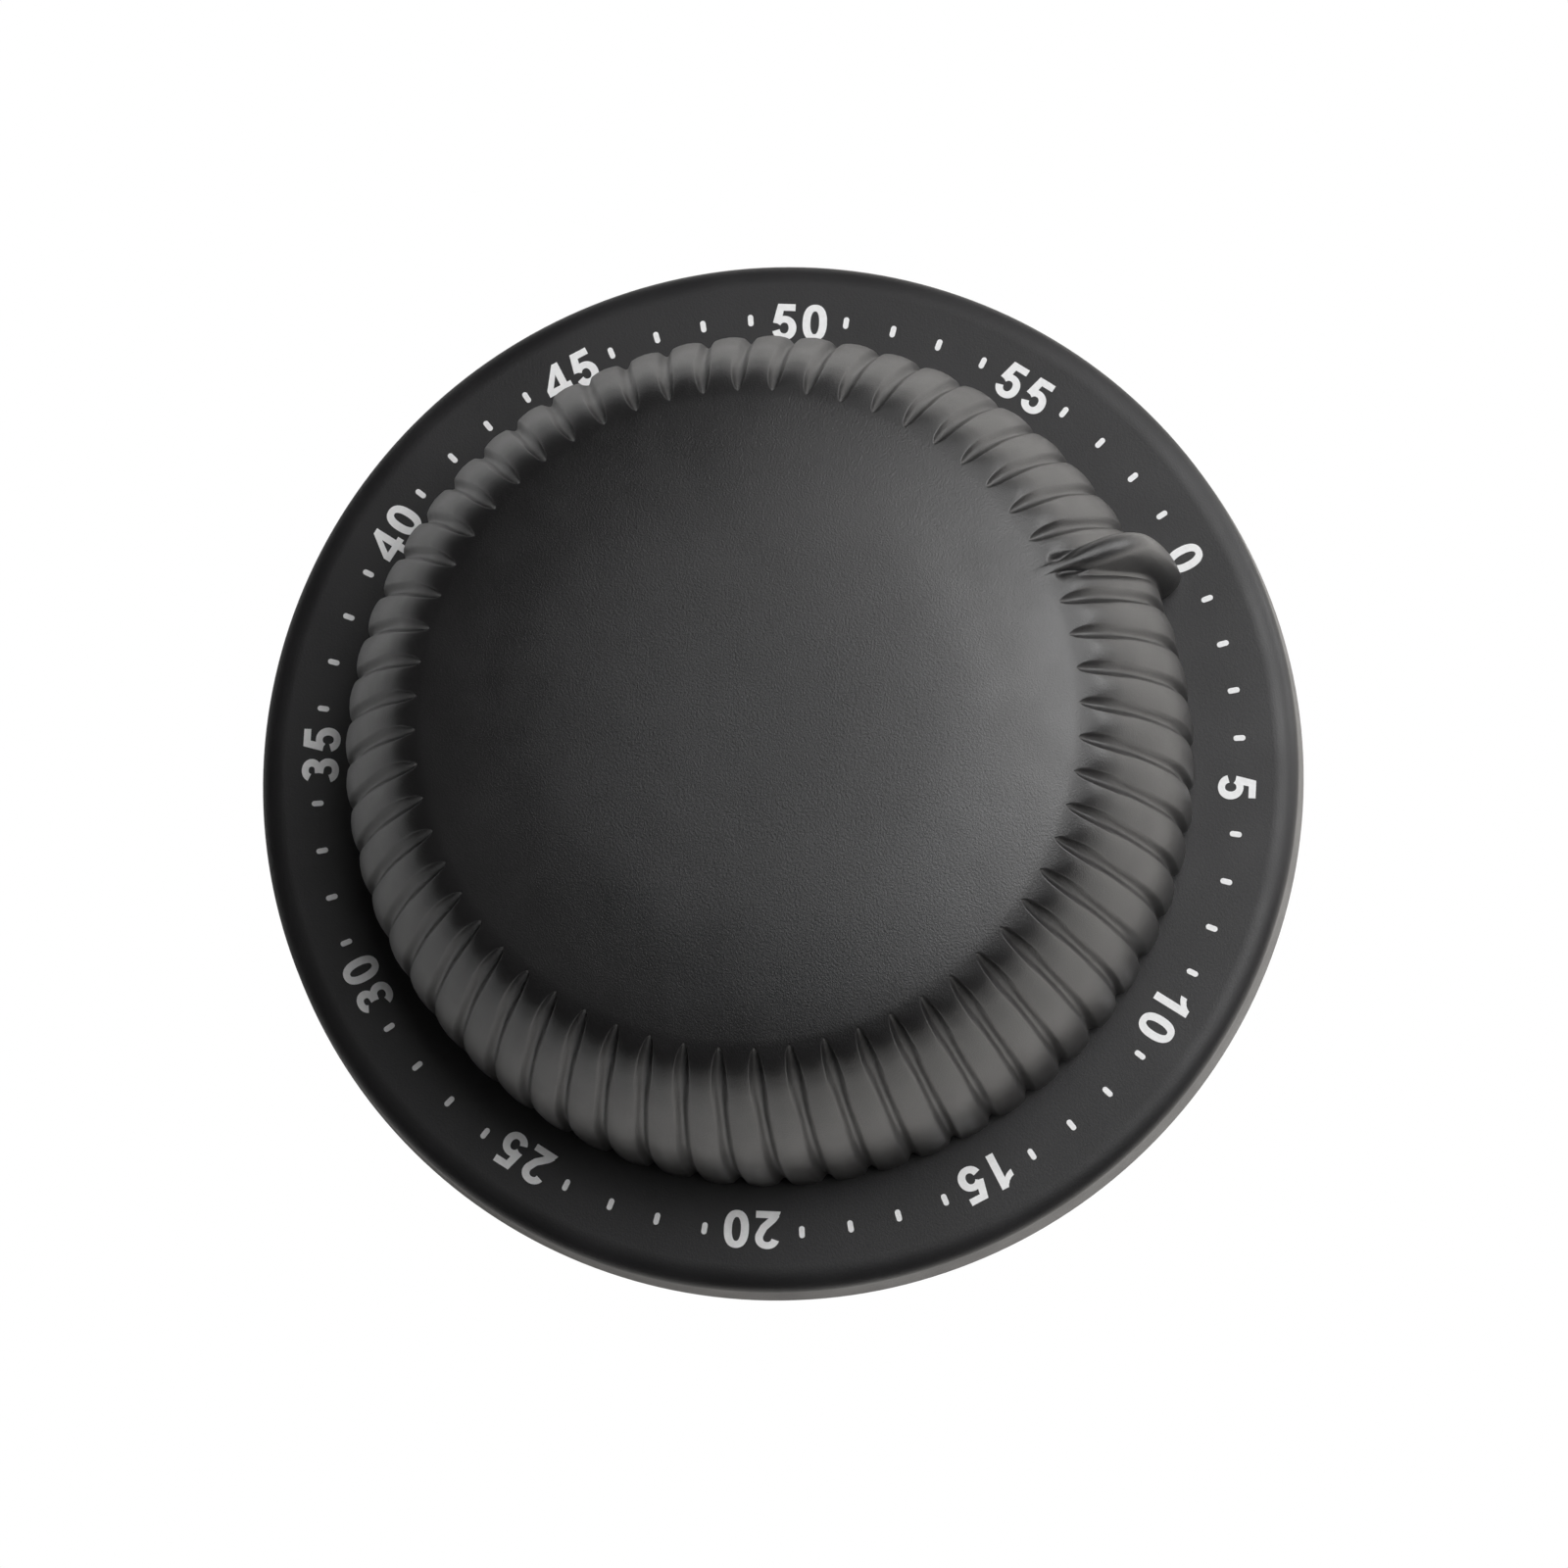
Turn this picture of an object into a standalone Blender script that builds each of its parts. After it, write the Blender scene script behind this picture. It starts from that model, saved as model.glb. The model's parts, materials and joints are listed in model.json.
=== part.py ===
"""A wind-up kitchen timer: a fluted knob over a clockwork movement, on a round magnetic dial.

Metres, +Z up. The timer lies on its back: the rubber ring on its rear stands on z = 0, the knob's
axis is the Z axis, and the dial's zero mark and the knob's pointer face +Y.
"""

import math

import bpy

MM = 0.001

# ---- Driving dimensions -------------------------------------------------------------------------

# Clearances
GAP = 0.3 * MM                  # between pieces that touch or are seated in each other
RUN = 0.3 * MM                  # round a turning pivot

# Gear train: (wheel teeth, pinion teeth, module) of each mesh, from the winding arbor outwards
MAIN_MESH = (60, 10, 0.45 * MM)
SECOND_MESH = (48, 8, 0.36 * MM)
THIRD_MESH = (45, 8, 0.32 * MM)
PRESSURE_ANGLE = math.radians(25)
BACKLASH = 0.24                 # share of a tooth left out, so that the teeth run free
WHEEL_ADDENDUM = 0.65           # in modules
PINION_ADDENDUM = 0.75
DEDENDUM = 1.05

# Movement
ARBOR_R = 2.0 * MM              # winding arbor
ARBOR_FOOT_R = ARBOR_R - 0.8 * MM
PIVOT_R = 0.5 * MM              # ends of the train's arbors
STAFF_R = 0.8 * MM              # the train's arbors between the plates
PLATE_T = 0.8 * MM
PLATE_SPACE = 9.0 * MM          # between the two plates
PILLAR_R = 1.4 * MM
PILLAR_INSET = 2.3 * MM         # pillar's axis inside the plate's rim
WHEEL_T = 0.6 * MM
MAIN_WHEEL_T = 0.8 * MM
SPRING_HEIGHT = 3.6 * MM
SPRING_STRIP = 0.3 * MM
SPRING_TURNS = 5
NUT_T = 1.6 * MM
BUSH_R = 3.6 * MM               # threaded bush that clamps the movement to the case
BUSH_NECK_R = BUSH_R - 0.6 * MM # where it goes through the upper plate
BELL_DEPTH = 5.0 * MM
BELL_WALL = 0.8 * MM
BELL_ROUND = 1.8 * MM
ESCAPE_TEETH = 15
ESCAPE_R = 4.2 * MM
BALANCE_REACH = 5.2 * MM        # from its arbor to the end of either arm
RATCHET_TEETH = 24
RATCHET_R = 4.6 * MM

# Case
CASE_WALL = 1.5 * MM
DIAL_BAND = 8.2 * MM            # printed dial outside the knob
DIAL_HEIGHT = 7.0 * MM          # dial's face above the resting plane
EDGE_ROUND = 1.15 * MM
RIM_DRAFT = 0.3 * MM            # how much wider the rim wall is at its foot
COVER_T = 1.8 * MM
RUBBER_PROUD = 0.5 * MM
RUBBER_WIDTH = 2.5 * MM
RUBBER_INSET = 1.6 * MM         # ring inside the dial's edge
MAGNET_INSET = 1.4 * MM         # magnets inside the ring
WELL_WALL = 1.2 * MM            # round each magnet
MAGNET_R = 5.0 * MM
MAGNET_T = 2.5 * MM
SCREW_R = 1.3 * MM
SCREW_HEAD_R = 2.4 * MM
SCREW_SEAT = 1.1 * MM           # depth of the head's counterbore

# Knob
KNOB_WALL = 1.8 * MM
KNOB_HEIGHT = 25.4 * MM         # crown above the dial
KNOB_CLEAR = 0.5 * MM           # skirt above the dial
KNOB_FLARE = 5.0 * MM           # skirt's radius outside the turret's
KNOB_OUTLINE = (                # crown to skirt: share of the radius, of the height, of the flute's depth
    (0.00, 1.000, 0.0),
    (0.46, 0.989, 0.0),
    (0.71, 0.953, 0.0),
    (0.78, 0.922, 0.8),
    (0.86, 0.810, 1.0),
    (0.94, 0.600, 1.0),
    (1.00, 0.280, 1.0),
)
FLUTES = 60
FLUTE_DEPTH = 0.5 * MM
FLUTE_WIDTH_DEG = 2.4
POINTER_REACH = 2.5 * MM        # pointer's nose outside the skirt
POINTER_WIDTH = 2.5 * MM        # at its nose
POINTER_TIP_WIDTH = 1.0 * MM
POINTER_TIP = 0.76              # share of the skirt's radius where the pointer leaves the shoulder
POINTER_CREST = (               # tip to nose: share of the way out, of the knob's height
    (0.00, 0.915),
    (0.10, 0.925),
    (0.35, 0.886),
    (0.57, 0.846),
    (0.70, 0.780),
    (0.81, 0.626),
    (0.89, 0.470),
    (0.94, 0.320),
    (0.99, 0.120),
)
POINTER_PAST_DEG = 1.4          # how far past the zero mark the pointer comes to rest
HUB_R = 4.6 * MM

# ---- Sizes that follow --------------------------------------------------------------------------


def centre_distance(mesh):
    """Distance between the arbors of a wheel and a pinion in mesh."""
    wheel, pinion, module = mesh
    return (wheel + pinion) * module / 2


def tip_radius(mesh):
    """Outer radius of a mesh's wheel."""
    return mesh[0] * mesh[2] / 2 + WHEEL_ADDENDUM * mesh[2]


TRAIN_R = centre_distance(MAIN_MESH)
PLATE_R = TRAIN_R + tip_radius(SECOND_MESH) + GAP
TURRET_IN_R = PLATE_R + GAP
TURRET_R = TURRET_IN_R + CASE_WALL
SKIRT_R = TURRET_R + KNOB_FLARE
DIAL_R = SKIRT_R + DIAL_BAND
RUBBER_OUT_R = DIAL_R - RUBBER_INSET
RUBBER_IN_R = RUBBER_OUT_R - RUBBER_WIDTH
MAGNET_CIRCLE_R = RUBBER_IN_R - MAGNET_INSET - MAGNET_R
BELL_R = MAGNET_CIRCLE_R - MAGNET_R - WELL_WALL - 3 * GAP

COVER_Z = RUBBER_PROUD                          # rear cover's outer face
COVER_TOP = COVER_Z + COVER_T
BELL_Z = COVER_TOP + 2 * GAP
LOWER_Z = BELL_Z + BELL_DEPTH + 2 * GAP         # lower plate's underside
LOWER_TOP = LOWER_Z + PLATE_T
UPPER_Z = LOWER_TOP + PLATE_SPACE
UPPER_TOP = UPPER_Z + PLATE_T
CEILING_Z = UPPER_TOP + GAP
CEILING_TOP = CEILING_Z + CASE_WALL
KNOB_Z = DIAL_HEIGHT + KNOB_CLEAR
CROWN_Z = DIAL_HEIGHT + KNOB_HEIGHT
HUB_Z = CEILING_TOP + NUT_T + 1.6 * MM          # leaves room for the clamping nut
ARBOR_TOP = CROWN_Z - KNOB_WALL - 1.3 * MM

MAIN_Z = LOWER_TOP + 1.0 * MM
RATCHET_Z = MAIN_Z + MAIN_WHEEL_T + GAP
CAM_Z = RATCHET_Z + WHEEL_T + GAP
SECOND_WHEEL_Z = CAM_Z + WHEEL_T + GAP
SPRING_Z = UPPER_Z - SPRING_HEIGHT - 2 * GAP
THIRD_WHEEL_Z = SECOND_WHEEL_Z + 1.6 * MM
ESCAPE_Z = THIRD_WHEEL_Z + 1.6 * MM
HAMMER_TAIL_Z = ESCAPE_Z

SPRING_IN_R = ARBOR_R + 1.4 * MM
SPRING_OUT_R = TRAIN_R - tip_radius(THIRD_MESH) - 2.5 * GAP
CAM_R = TRAIN_R - tip_radius(SECOND_MESH) - 2 * GAP
STOP_CIRCLE_R = MAIN_MESH[0] * MAIN_MESH[2] / 2 - 1.5 * MM
STOP_R = 0.4 * MM
STAR_R = 3.2 * MM


def around(radius, degrees):
    """The point at this radius and angle round the Z axis."""
    angle = math.radians(degrees)
    return (radius * math.cos(angle), radius * math.sin(angle))


def chord_angle(distance):
    """Angle between two arbors on the train's circle that stand this far apart."""
    return math.degrees(2 * math.asin(distance / 2 / TRAIN_R))


SECOND_AT_DEG = 0.0
THIRD_AT_DEG = SECOND_AT_DEG + chord_angle(centre_distance(SECOND_MESH))
ESCAPE_AT_DEG = THIRD_AT_DEG + chord_angle(centre_distance(THIRD_MESH))
PALLET_DISTANCE = ESCAPE_R + 2.3 * MM
PALLET_AT_DEG = ESCAPE_AT_DEG + chord_angle(PALLET_DISTANCE)
HAMMER_AT_DEG = SECOND_AT_DEG - 42.0
STOP_AT_DEG = 150.0
SPRING_END_DEG = 178.0
STOP_STEP_DEG = 5.0                             # moving stop's lead over the fixed one at zero
PILLARS_AT_DEG = (118.0, 178.0, 238.0, 298.0)

SECOND_AT = around(TRAIN_R, SECOND_AT_DEG)
THIRD_AT = around(TRAIN_R, THIRD_AT_DEG)
ESCAPE_AT = around(TRAIN_R, ESCAPE_AT_DEG)
PALLET_AT = around(TRAIN_R, PALLET_AT_DEG)
HAMMER_AT = around(TRAIN_R + 0.5 * MM, HAMMER_AT_DEG)
SPRING_STUD_AT = around(SPRING_OUT_R + 1.0 * MM, SPRING_END_DEG)
CENTRE = (0.0, 0.0)

ROUND_STEPS = 60
SHAFT_STEPS = 12

# ---- Modelling helpers --------------------------------------------------------------------------


def clear_scene():
    for obj in list(bpy.data.objects):
        bpy.data.objects.remove(obj, do_unlink=True)


def new_collection(name):
    collection = bpy.data.collections.new(name)
    bpy.context.scene.collection.children.link(collection)
    return collection


def new_material(name, colour, roughness, metallic=0.0):
    material = bpy.data.materials.new(name)
    material.use_nodes = True
    shader = material.node_tree.nodes["Principled BSDF"]
    shader.inputs["Base Color"].default_value = (*colour, 1.0)
    shader.inputs["Roughness"].default_value = roughness
    shader.inputs["Metallic"].default_value = metallic
    return material


def add_object(name, data, material=None, at=CENTRE, z=0.0, turn_deg=0.0):
    obj = bpy.data.objects.new(name, data)
    obj.location = (at[0], at[1], z)
    obj.rotation_euler = (0.0, 0.0, math.radians(turn_deg))
    if material is None:
        cutters.objects.link(obj)
        obj.hide_render = True
        obj.display_type = "WIRE"
    else:
        parts.objects.link(obj)
        data.materials.append(material)
    return obj


def turned(name, profile, material=None, steps=SHAFT_STEPS, at=CENTRE, ring=False, turn_deg=0.0):
    """A solid of revolution. The profile is (radius, z) points, down the outer side; a ring's is closed."""
    count = len(profile)
    edges = [(i, i + 1) for i in range(count - 1)]
    if ring:
        edges.append((count - 1, 0))
    mesh = bpy.data.meshes.new(name)
    mesh.from_pydata([(r, 0.0, z) for r, z in profile], edges, [])
    obj = add_object(name, mesh, material, at, 0.0, turn_deg)
    screw = obj.modifiers.new("Turn", "SCREW")
    screw.steps = screw.render_steps = steps
    screw.use_merge_vertices = True
    screw.merge_threshold = 1e-6
    return obj


def washer(name, inner, outer, z0, z1, material, steps=ROUND_STEPS, at=CENTRE):
    profile = [(inner, z1), (outer, z1), (outer, z0), (inner, z0)]
    return turned(name, profile, material, steps, at, ring=True)


def shaft(name, stages, material, at=CENTRE, steps=SHAFT_STEPS):
    """A stepped shaft. Its stages are (radius, top z), from the top down. The last has the foot's z."""
    profile = [(0.0, stages[0][1])]
    for (radius, top), (_, foot) in zip(stages, stages[1:]):
        profile += [(radius, top), (radius, foot)]
    profile.append((0.0, stages[-1][1]))
    return turned(name, profile, material, steps, at)


def flat(name, outlines, z0, z1, material=None, at=CENTRE, turn_deg=0.0):
    """A flat piece from z0 to z1. Its first outline is its rim, and the others are holes."""
    curve = bpy.data.curves.new(name, "CURVE")
    curve.dimensions = "2D"
    curve.fill_mode = "BOTH"
    curve.extrude = (z1 - z0) / 2
    for outline in outlines:
        spline = curve.splines.new("POLY")
        spline.points.add(len(outline) - 1)
        spline.use_cyclic_u = True
        for point, (x, y) in zip(spline.points, outline):
            point.co = (x, y, 0.0, 1.0)
    return add_object(name, curve, material, at, (z0 + z1) / 2, turn_deg)


def wire(name, points, radius, material):
    """A round wire with closed ends through these points."""
    curve = bpy.data.curves.new(name, "CURVE")
    curve.dimensions = "3D"
    curve.bevel_depth = radius
    curve.bevel_resolution = 2
    curve.use_fill_caps = True
    spline = curve.splines.new("POLY")
    spline.points.add(len(points) - 1)
    for point, place in zip(spline.points, points):
        point.co = (*place, 1.0)
    return add_object(name, curve, material)


def as_mesh(obj):
    """Makes a curve or a piece with modifiers a plain mesh, with its seams welded."""
    graph = bpy.context.evaluated_depsgraph_get()
    mesh = bpy.data.meshes.new_from_object(obj.evaluated_get(graph))
    name, matrix, home = obj.name, obj.matrix_world.copy(), obj.users_collection[0]
    helper, display = obj.hide_render, obj.display_type
    bpy.data.objects.remove(obj, do_unlink=True)
    made = bpy.data.objects.new(name, mesh)
    made.matrix_world = matrix
    made.hide_render, made.display_type = helper, display
    home.objects.link(made)
    weld = made.modifiers.new("Weld", "WELD")
    weld.merge_threshold = 1e-6
    return made


def boolean(target, other, operation="DIFFERENCE"):
    modifier = target.modifiers.new(operation.title(), "BOOLEAN")
    modifier.operation = operation
    modifier.object = other


def circle(radius, count=SHAFT_STEPS, at=CENTRE):
    points = [around(radius, 360.0 * i / count) for i in range(count)]
    return [(at[0] + x, at[1] + y) for x, y in points]


def bar(length_back, length_ahead, half_width, steps=4):
    """The outline of a bar along X with round ends."""
    points = []
    for centre, start in ((length_ahead, -90.0), (-length_back, 90.0)):
        for i in range(steps + 1):
            x, y = around(half_width, start + 180.0 * i / steps)
            points.append((centre + x, y))
    return points


# ---- Gears --------------------------------------------------------------------------------------


def involute_half_angle(radius, pitch_r, half_at_pitch):
    """Half the angle that a tooth takes up at this radius."""
    base = pitch_r * math.cos(PRESSURE_ANGLE)
    at_pitch = math.tan(PRESSURE_ANGLE) - PRESSURE_ANGLE
    angle = math.acos(min(1.0, base / radius))
    return half_at_pitch + at_pitch - (math.tan(angle) - angle)


def gear_outline(teeth, module, addendum, flank_points):
    """A gear with its first tooth on the X axis. The flanks are involutes, radial below the base circle."""
    pitch_r = teeth * module / 2
    tip, root = pitch_r + addendum * module, pitch_r - DEDENDUM * module
    half_at_pitch = math.pi / teeth / 2 * (1 - BACKLASH)
    radii = [root + (tip - root) * i / (flank_points - 1) for i in range(flank_points)]
    flank = [(r, involute_half_angle(r, pitch_r, half_at_pitch)) for r in radii]
    points = []
    for tooth in range(teeth):
        middle = 2 * math.pi * tooth / teeth
        for r, half in flank:
            points.append((r * math.cos(middle - half), r * math.sin(middle - half)))
        for r, half in reversed(flank):
            points.append((r * math.cos(middle + half), r * math.sin(middle + half)))
    return points


def bearing(a, b):
    """Angle of the line from one arbor to another."""
    return math.degrees(math.atan2(b[1] - a[1], b[0] - a[0]))


def wheel(name, mesh, at, toward, z, thickness, bore, material, holes=0):
    """A mesh's wheel, with a tooth facing its pinion and round lightening holes."""
    teeth, _, module = mesh
    outlines = [gear_outline(teeth, module, WHEEL_ADDENDUM, 2), circle(bore)]
    pitch_r = teeth * module / 2
    for i in range(holes):
        centre = around(pitch_r * 0.58, 360.0 * (i + 0.5) / holes)
        outlines.append(circle(pitch_r * 0.21, 10, centre))
    return flat(name, outlines, z, z + thickness, material, at, bearing(at, toward))


def train_arbor(name, at, material, mesh=None, toward=CENTRE, z0=0.0, z1=0.0):
    """An arbor that turns in both plates. With a mesh, that mesh's pinion is cut on it from z0 to z1."""
    shoulder = 0.2 * MM
    arbor = shaft(
        name,
        [
            (PIVOT_R, UPPER_TOP + GAP / 2),
            (STAFF_R, UPPER_Z - shoulder),
            (PIVOT_R, LOWER_TOP + shoulder),
            (0.0, LOWER_Z - GAP / 2),
        ],
        material,
        at,
    )
    if mesh:
        _, teeth, module = mesh
        outline = gear_outline(teeth, module, PINION_ADDENDUM, 3)
        turn = bearing(at, toward) + 180.0 / teeth
        arbor = as_mesh(arbor)
        boolean(arbor, as_mesh(flat("pinion", [outline], z0, z1, None, at, turn)), "UNION")


# ---- Case ---------------------------------------------------------------------------------------


COVER_SCREWS_AT_DEG = (30.0, 150.0, 270.0)
MAGNETS_AT_DEG = (90.0, 210.0, 330.0)
RUBBER_SEAT = 0.6 * MM
POST_R = 3.0 * MM
MAGNET_Z = COVER_Z + 0.1 * MM
SCREW_CIRCLE_R = RUBBER_IN_R - SCREW_HEAD_R - 5 * GAP


def quarter_round(centre_r, centre_z, radius, steps=3):
    """An arc from straight up to straight outwards."""
    angles = [math.pi / 2 * i / steps for i in range(steps + 1)]
    return [(centre_r + radius * math.sin(a), centre_z + radius * math.cos(a)) for a in angles]


def make_front_case(material):
    """Dial, rim wall, turret and screw posts in one moulding. The turret's roof takes the bush."""
    bore = BUSH_R + GAP
    wall_foot = COVER_TOP + GAP
    chamfer = 1.2 * MM
    ceiling = DIAL_HEIGHT - CASE_WALL
    profile = [
        (bore, CEILING_TOP),
        (TURRET_R - chamfer, CEILING_TOP),
        (TURRET_R, CEILING_TOP - chamfer),
        (TURRET_R, DIAL_HEIGHT),
        *quarter_round(DIAL_R - RIM_DRAFT - EDGE_ROUND, DIAL_HEIGHT - EDGE_ROUND, EDGE_ROUND),
        (DIAL_R, wall_foot),
        (DIAL_R - CASE_WALL, wall_foot),
        (DIAL_R - CASE_WALL, ceiling),
        (TURRET_IN_R, ceiling),
        (TURRET_IN_R, CEILING_Z),
        (bore, CEILING_Z),
    ]
    case = as_mesh(turned("front_case", profile, material, ROUND_STEPS, ring=True))
    for angle in COVER_SCREWS_AT_DEG:
        at = around(SCREW_CIRCLE_R, angle)
        post = [(POST_R, ceiling + CASE_WALL / 2), (0.0, wall_foot)]
        post_bore = [(SCREW_R + GAP, ceiling), (0.0, wall_foot - GAP)]
        boolean(case, shaft("post", post, None, at), "UNION")
        boolean(case, shaft("post_bore", post_bore, None, at))


def make_rear_cover(material):
    """A flat back with wells for the magnets, counterbored screw holes and a seat for the rubber ring."""
    seat_in, seat_out = RUBBER_IN_R - GAP, RUBBER_OUT_R + GAP
    rim = DIAL_R - 0.4 * MM
    seat_z = COVER_Z + RUBBER_SEAT
    profile = [
        (0.0, COVER_TOP),
        (rim, COVER_TOP),
        (rim, COVER_Z + 0.3 * MM),
        (rim - 0.3 * MM, COVER_Z),
        (seat_out, COVER_Z),
        (seat_out, seat_z),
        (seat_in, seat_z),
        (seat_in, COVER_Z),
        (0.0, COVER_Z),
    ]
    cover = as_mesh(turned("rear_cover", profile, material, ROUND_STEPS))
    roof = MAGNET_Z + MAGNET_T + GAP
    bore = MAGNET_R + GAP
    for angle in MAGNETS_AT_DEG:
        at = around(MAGNET_CIRCLE_R, angle)
        well = [(bore + WELL_WALL, roof + WELL_WALL), (0.0, COVER_TOP - CASE_WALL / 2)]
        boolean(cover, shaft("well", well, None, at, 20), "UNION")
        boolean(cover, shaft("well_bore", [(bore, roof), (0.0, -GAP)], None, at, 20))
    for angle in COVER_SCREWS_AT_DEG:
        hole = [(SCREW_R + GAP, COVER_TOP + 1.0 * MM), (SCREW_HEAD_R + GAP, COVER_Z + SCREW_SEAT), (0.0, -GAP)]
        boolean(cover, shaft("screw_hole", hole, None, around(SCREW_CIRCLE_R, angle)))


def make_magnets(material):
    for number, angle in enumerate(MAGNETS_AT_DEG, 1):
        shaft(
            f"magnet_{number}",
            [(MAGNET_R, MAGNET_Z + MAGNET_T), (0.0, MAGNET_Z)],
            material,
            around(MAGNET_CIRCLE_R, angle),
            20,
        )


def make_cover_screws(material):
    """Pan-head screws with a cross recess, driven from the rear."""
    head_z = COVER_Z + 0.2 * MM
    head_top = COVER_Z + SCREW_SEAT - GAP
    for number, angle in enumerate(COVER_SCREWS_AT_DEG, 1):
        at = around(SCREW_CIRCLE_R, angle)
        screw = as_mesh(
            shaft(
                f"cover_screw_{number}",
                [(SCREW_R, DIAL_HEIGHT - CASE_WALL - 2 * GAP), (SCREW_HEAD_R, head_top), (0.0, head_z)],
                material,
                at,
            )
        )
        for turn in (0.0, 90.0):
            slot = flat(
                "cross_slot",
                [bar(1.3 * MM, 1.3 * MM, 0.3 * MM, 1)],
                head_z - GAP,
                head_z + 0.45 * MM,
                None,
                at,
                turn,
            )
            boolean(screw, as_mesh(slot))


def make_rubber_ring(material):
    top = COVER_Z + RUBBER_SEAT - GAP
    chamfer = 0.3 * MM
    profile = [
        (RUBBER_IN_R, top),
        (RUBBER_OUT_R, top),
        (RUBBER_OUT_R, chamfer),
        (RUBBER_OUT_R - chamfer, 0.0),
        (RUBBER_IN_R, 0.0),
    ]
    turned("grip_ring", profile, material, ROUND_STEPS, ring=True)


# ---- Movement frame -----------------------------------------------------------------------------


def make_plates(material):
    pillar_holes = [
        circle(PILLAR_R / 2 + GAP, 10, around(PLATE_R - PILLAR_INSET, angle)) for angle in PILLARS_AT_DEG
    ]
    pivots = [circle(PIVOT_R + RUN, 8, at) for at in (SECOND_AT, THIRD_AT, ESCAPE_AT, PALLET_AT)]
    lower = [
        circle(PLATE_R, 48),
        circle(ARBOR_FOOT_R + RUN),
        circle(STAFF_R + RUN, 10, HAMMER_AT),
        circle(STOP_R + GAP, 8, around(STOP_CIRCLE_R, STOP_AT_DEG)),
        *pillar_holes,
        *pivots,
    ]
    flat("lower_plate", lower, LOWER_Z, LOWER_TOP, material)
    upper = [
        circle(PLATE_R, 48),
        circle(BUSH_NECK_R + GAP, 20),
        circle(PIVOT_R + RUN, 8, HAMMER_AT),
        circle(STOP_R + GAP, 8, SPRING_STUD_AT),
        *pillar_holes,
        *pivots,
    ]
    flat("upper_plate", upper, UPPER_Z, UPPER_TOP, material)


def make_pillars(material):
    """Distance pieces with a shoulder against each plate and riveted ends."""
    for number, angle in enumerate(PILLARS_AT_DEG, 1):
        shaft(
            f"pillar_{number}",
            [
                (PILLAR_R / 2, UPPER_TOP + GAP / 2),
                (PILLAR_R, UPPER_Z - GAP),
                (PILLAR_R / 2, LOWER_TOP + GAP),
                (0.0, LOWER_Z - GAP / 2),
            ],
            material,
            around(PLATE_R - PILLAR_INSET, angle),
            10,
        )


def make_clamping_bush(brass, steel):
    """The bush stands on the upper plate, goes through the turret's roof and takes a washer and a nut."""
    bore = ARBOR_R + RUN
    bush_top = HUB_Z - 2 * GAP
    profile = [
        (bore, bush_top),
        (BUSH_R, bush_top),
        (BUSH_R, UPPER_TOP + GAP / 3),
        (BUSH_NECK_R, UPPER_TOP + GAP / 3),
        (BUSH_NECK_R, UPPER_Z),
        (bore, UPPER_Z),
    ]
    turned("threaded_bush", profile, brass, 20, ring=True)
    washer_z = CEILING_TOP + GAP / 3
    washer("nut_washer", BUSH_R + GAP, BUSH_R + 3.0 * MM, washer_z, washer_z + 0.4 * MM, steel, 24)
    nut_z = washer_z + 0.4 * MM + GAP / 3
    nut = [circle(BUSH_R + 2.6 * MM, 6), circle(BUSH_R + GAP, 20)]
    flat("clamping_nut", nut, nut_z, nut_z + NUT_T, steel)


# ---- Winding arbor ------------------------------------------------------------------------------


def make_winding_arbor(steel):
    arbor = as_mesh(
        shaft(
            "winding_arbor",
            [(ARBOR_R, ARBOR_TOP), (ARBOR_FOOT_R, LOWER_TOP + 0.2 * MM), (0.0, LOWER_Z - GAP / 2)],
            steel,
            steps=20,
        )
    )
    near, far = 0.6 * ARBOR_R, 2 * ARBOR_R
    cut = [(near, -far), (far, -far), (far, far), (near, far)]
    boolean(arbor, as_mesh(flat("arbor_flat", [cut], HUB_Z + GAP, ARBOR_TOP + 1.0 * MM)))


def make_main_wheel(brass):
    wheel("main_wheel", MAIN_MESH, CENTRE, SECOND_AT, MAIN_Z, MAIN_WHEEL_T, ARBOR_R + GAP, brass, holes=6)


CLICK_AT = around(RATCHET_R + 3.0 * MM, 180.0)


def make_ratchet(steel):
    """Saw teeth, and the click that holds them."""
    step = 360.0 / RATCHET_TEETH
    points = []
    for tooth in range(RATCHET_TEETH):
        points.append(around(RATCHET_R - 0.5 * MM, step * tooth))
        points.append(around(RATCHET_R, step * (tooth + 0.92)))
    flat("ratchet_wheel", [points, circle(ARBOR_R + GAP, 16)], RATCHET_Z, RATCHET_Z + WHEEL_T, steel)


def make_click(brass, steel, spring_steel):
    """A pawl on the main wheel, its pin, and the bent leaf that presses it home."""
    z0, z1 = RATCHET_Z, RATCHET_Z + WHEEL_T
    nose = around(RATCHET_R + 0.55 * MM, 220.0)
    length = math.dist(CLICK_AT, nose)
    outline = [(-1.0 * MM, -0.8 * MM), (0.6 * MM, -0.95 * MM), (length, -0.25 * MM), (length, 0.25 * MM),
               (0.6 * MM, 0.95 * MM), (-1.0 * MM, 0.8 * MM)]
    flat("click", [outline, circle(0.5 * MM + RUN, 10)], z0, z1, steel, CLICK_AT, bearing(CLICK_AT, nose))
    shaft("click_pin", [(0.5 * MM, z1 + 0.1 * MM), (0.0, z0 - 2 * GAP / 3)], brass, CLICK_AT, 8)
    leaf = [(RATCHET_R + (2.1 + 0.2 * i) * MM, 206.0 + 3.0 * i) for i in range(10)]
    inside = [around(radius, angle) for radius, angle in leaf]
    outside = [around(radius + 0.3 * MM, angle) for radius, angle in leaf]
    flat("click_spring", [inside + outside[::-1]], z0, z1, spring_steel)


CAM_NOTCH_DEG = 24.0


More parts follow.
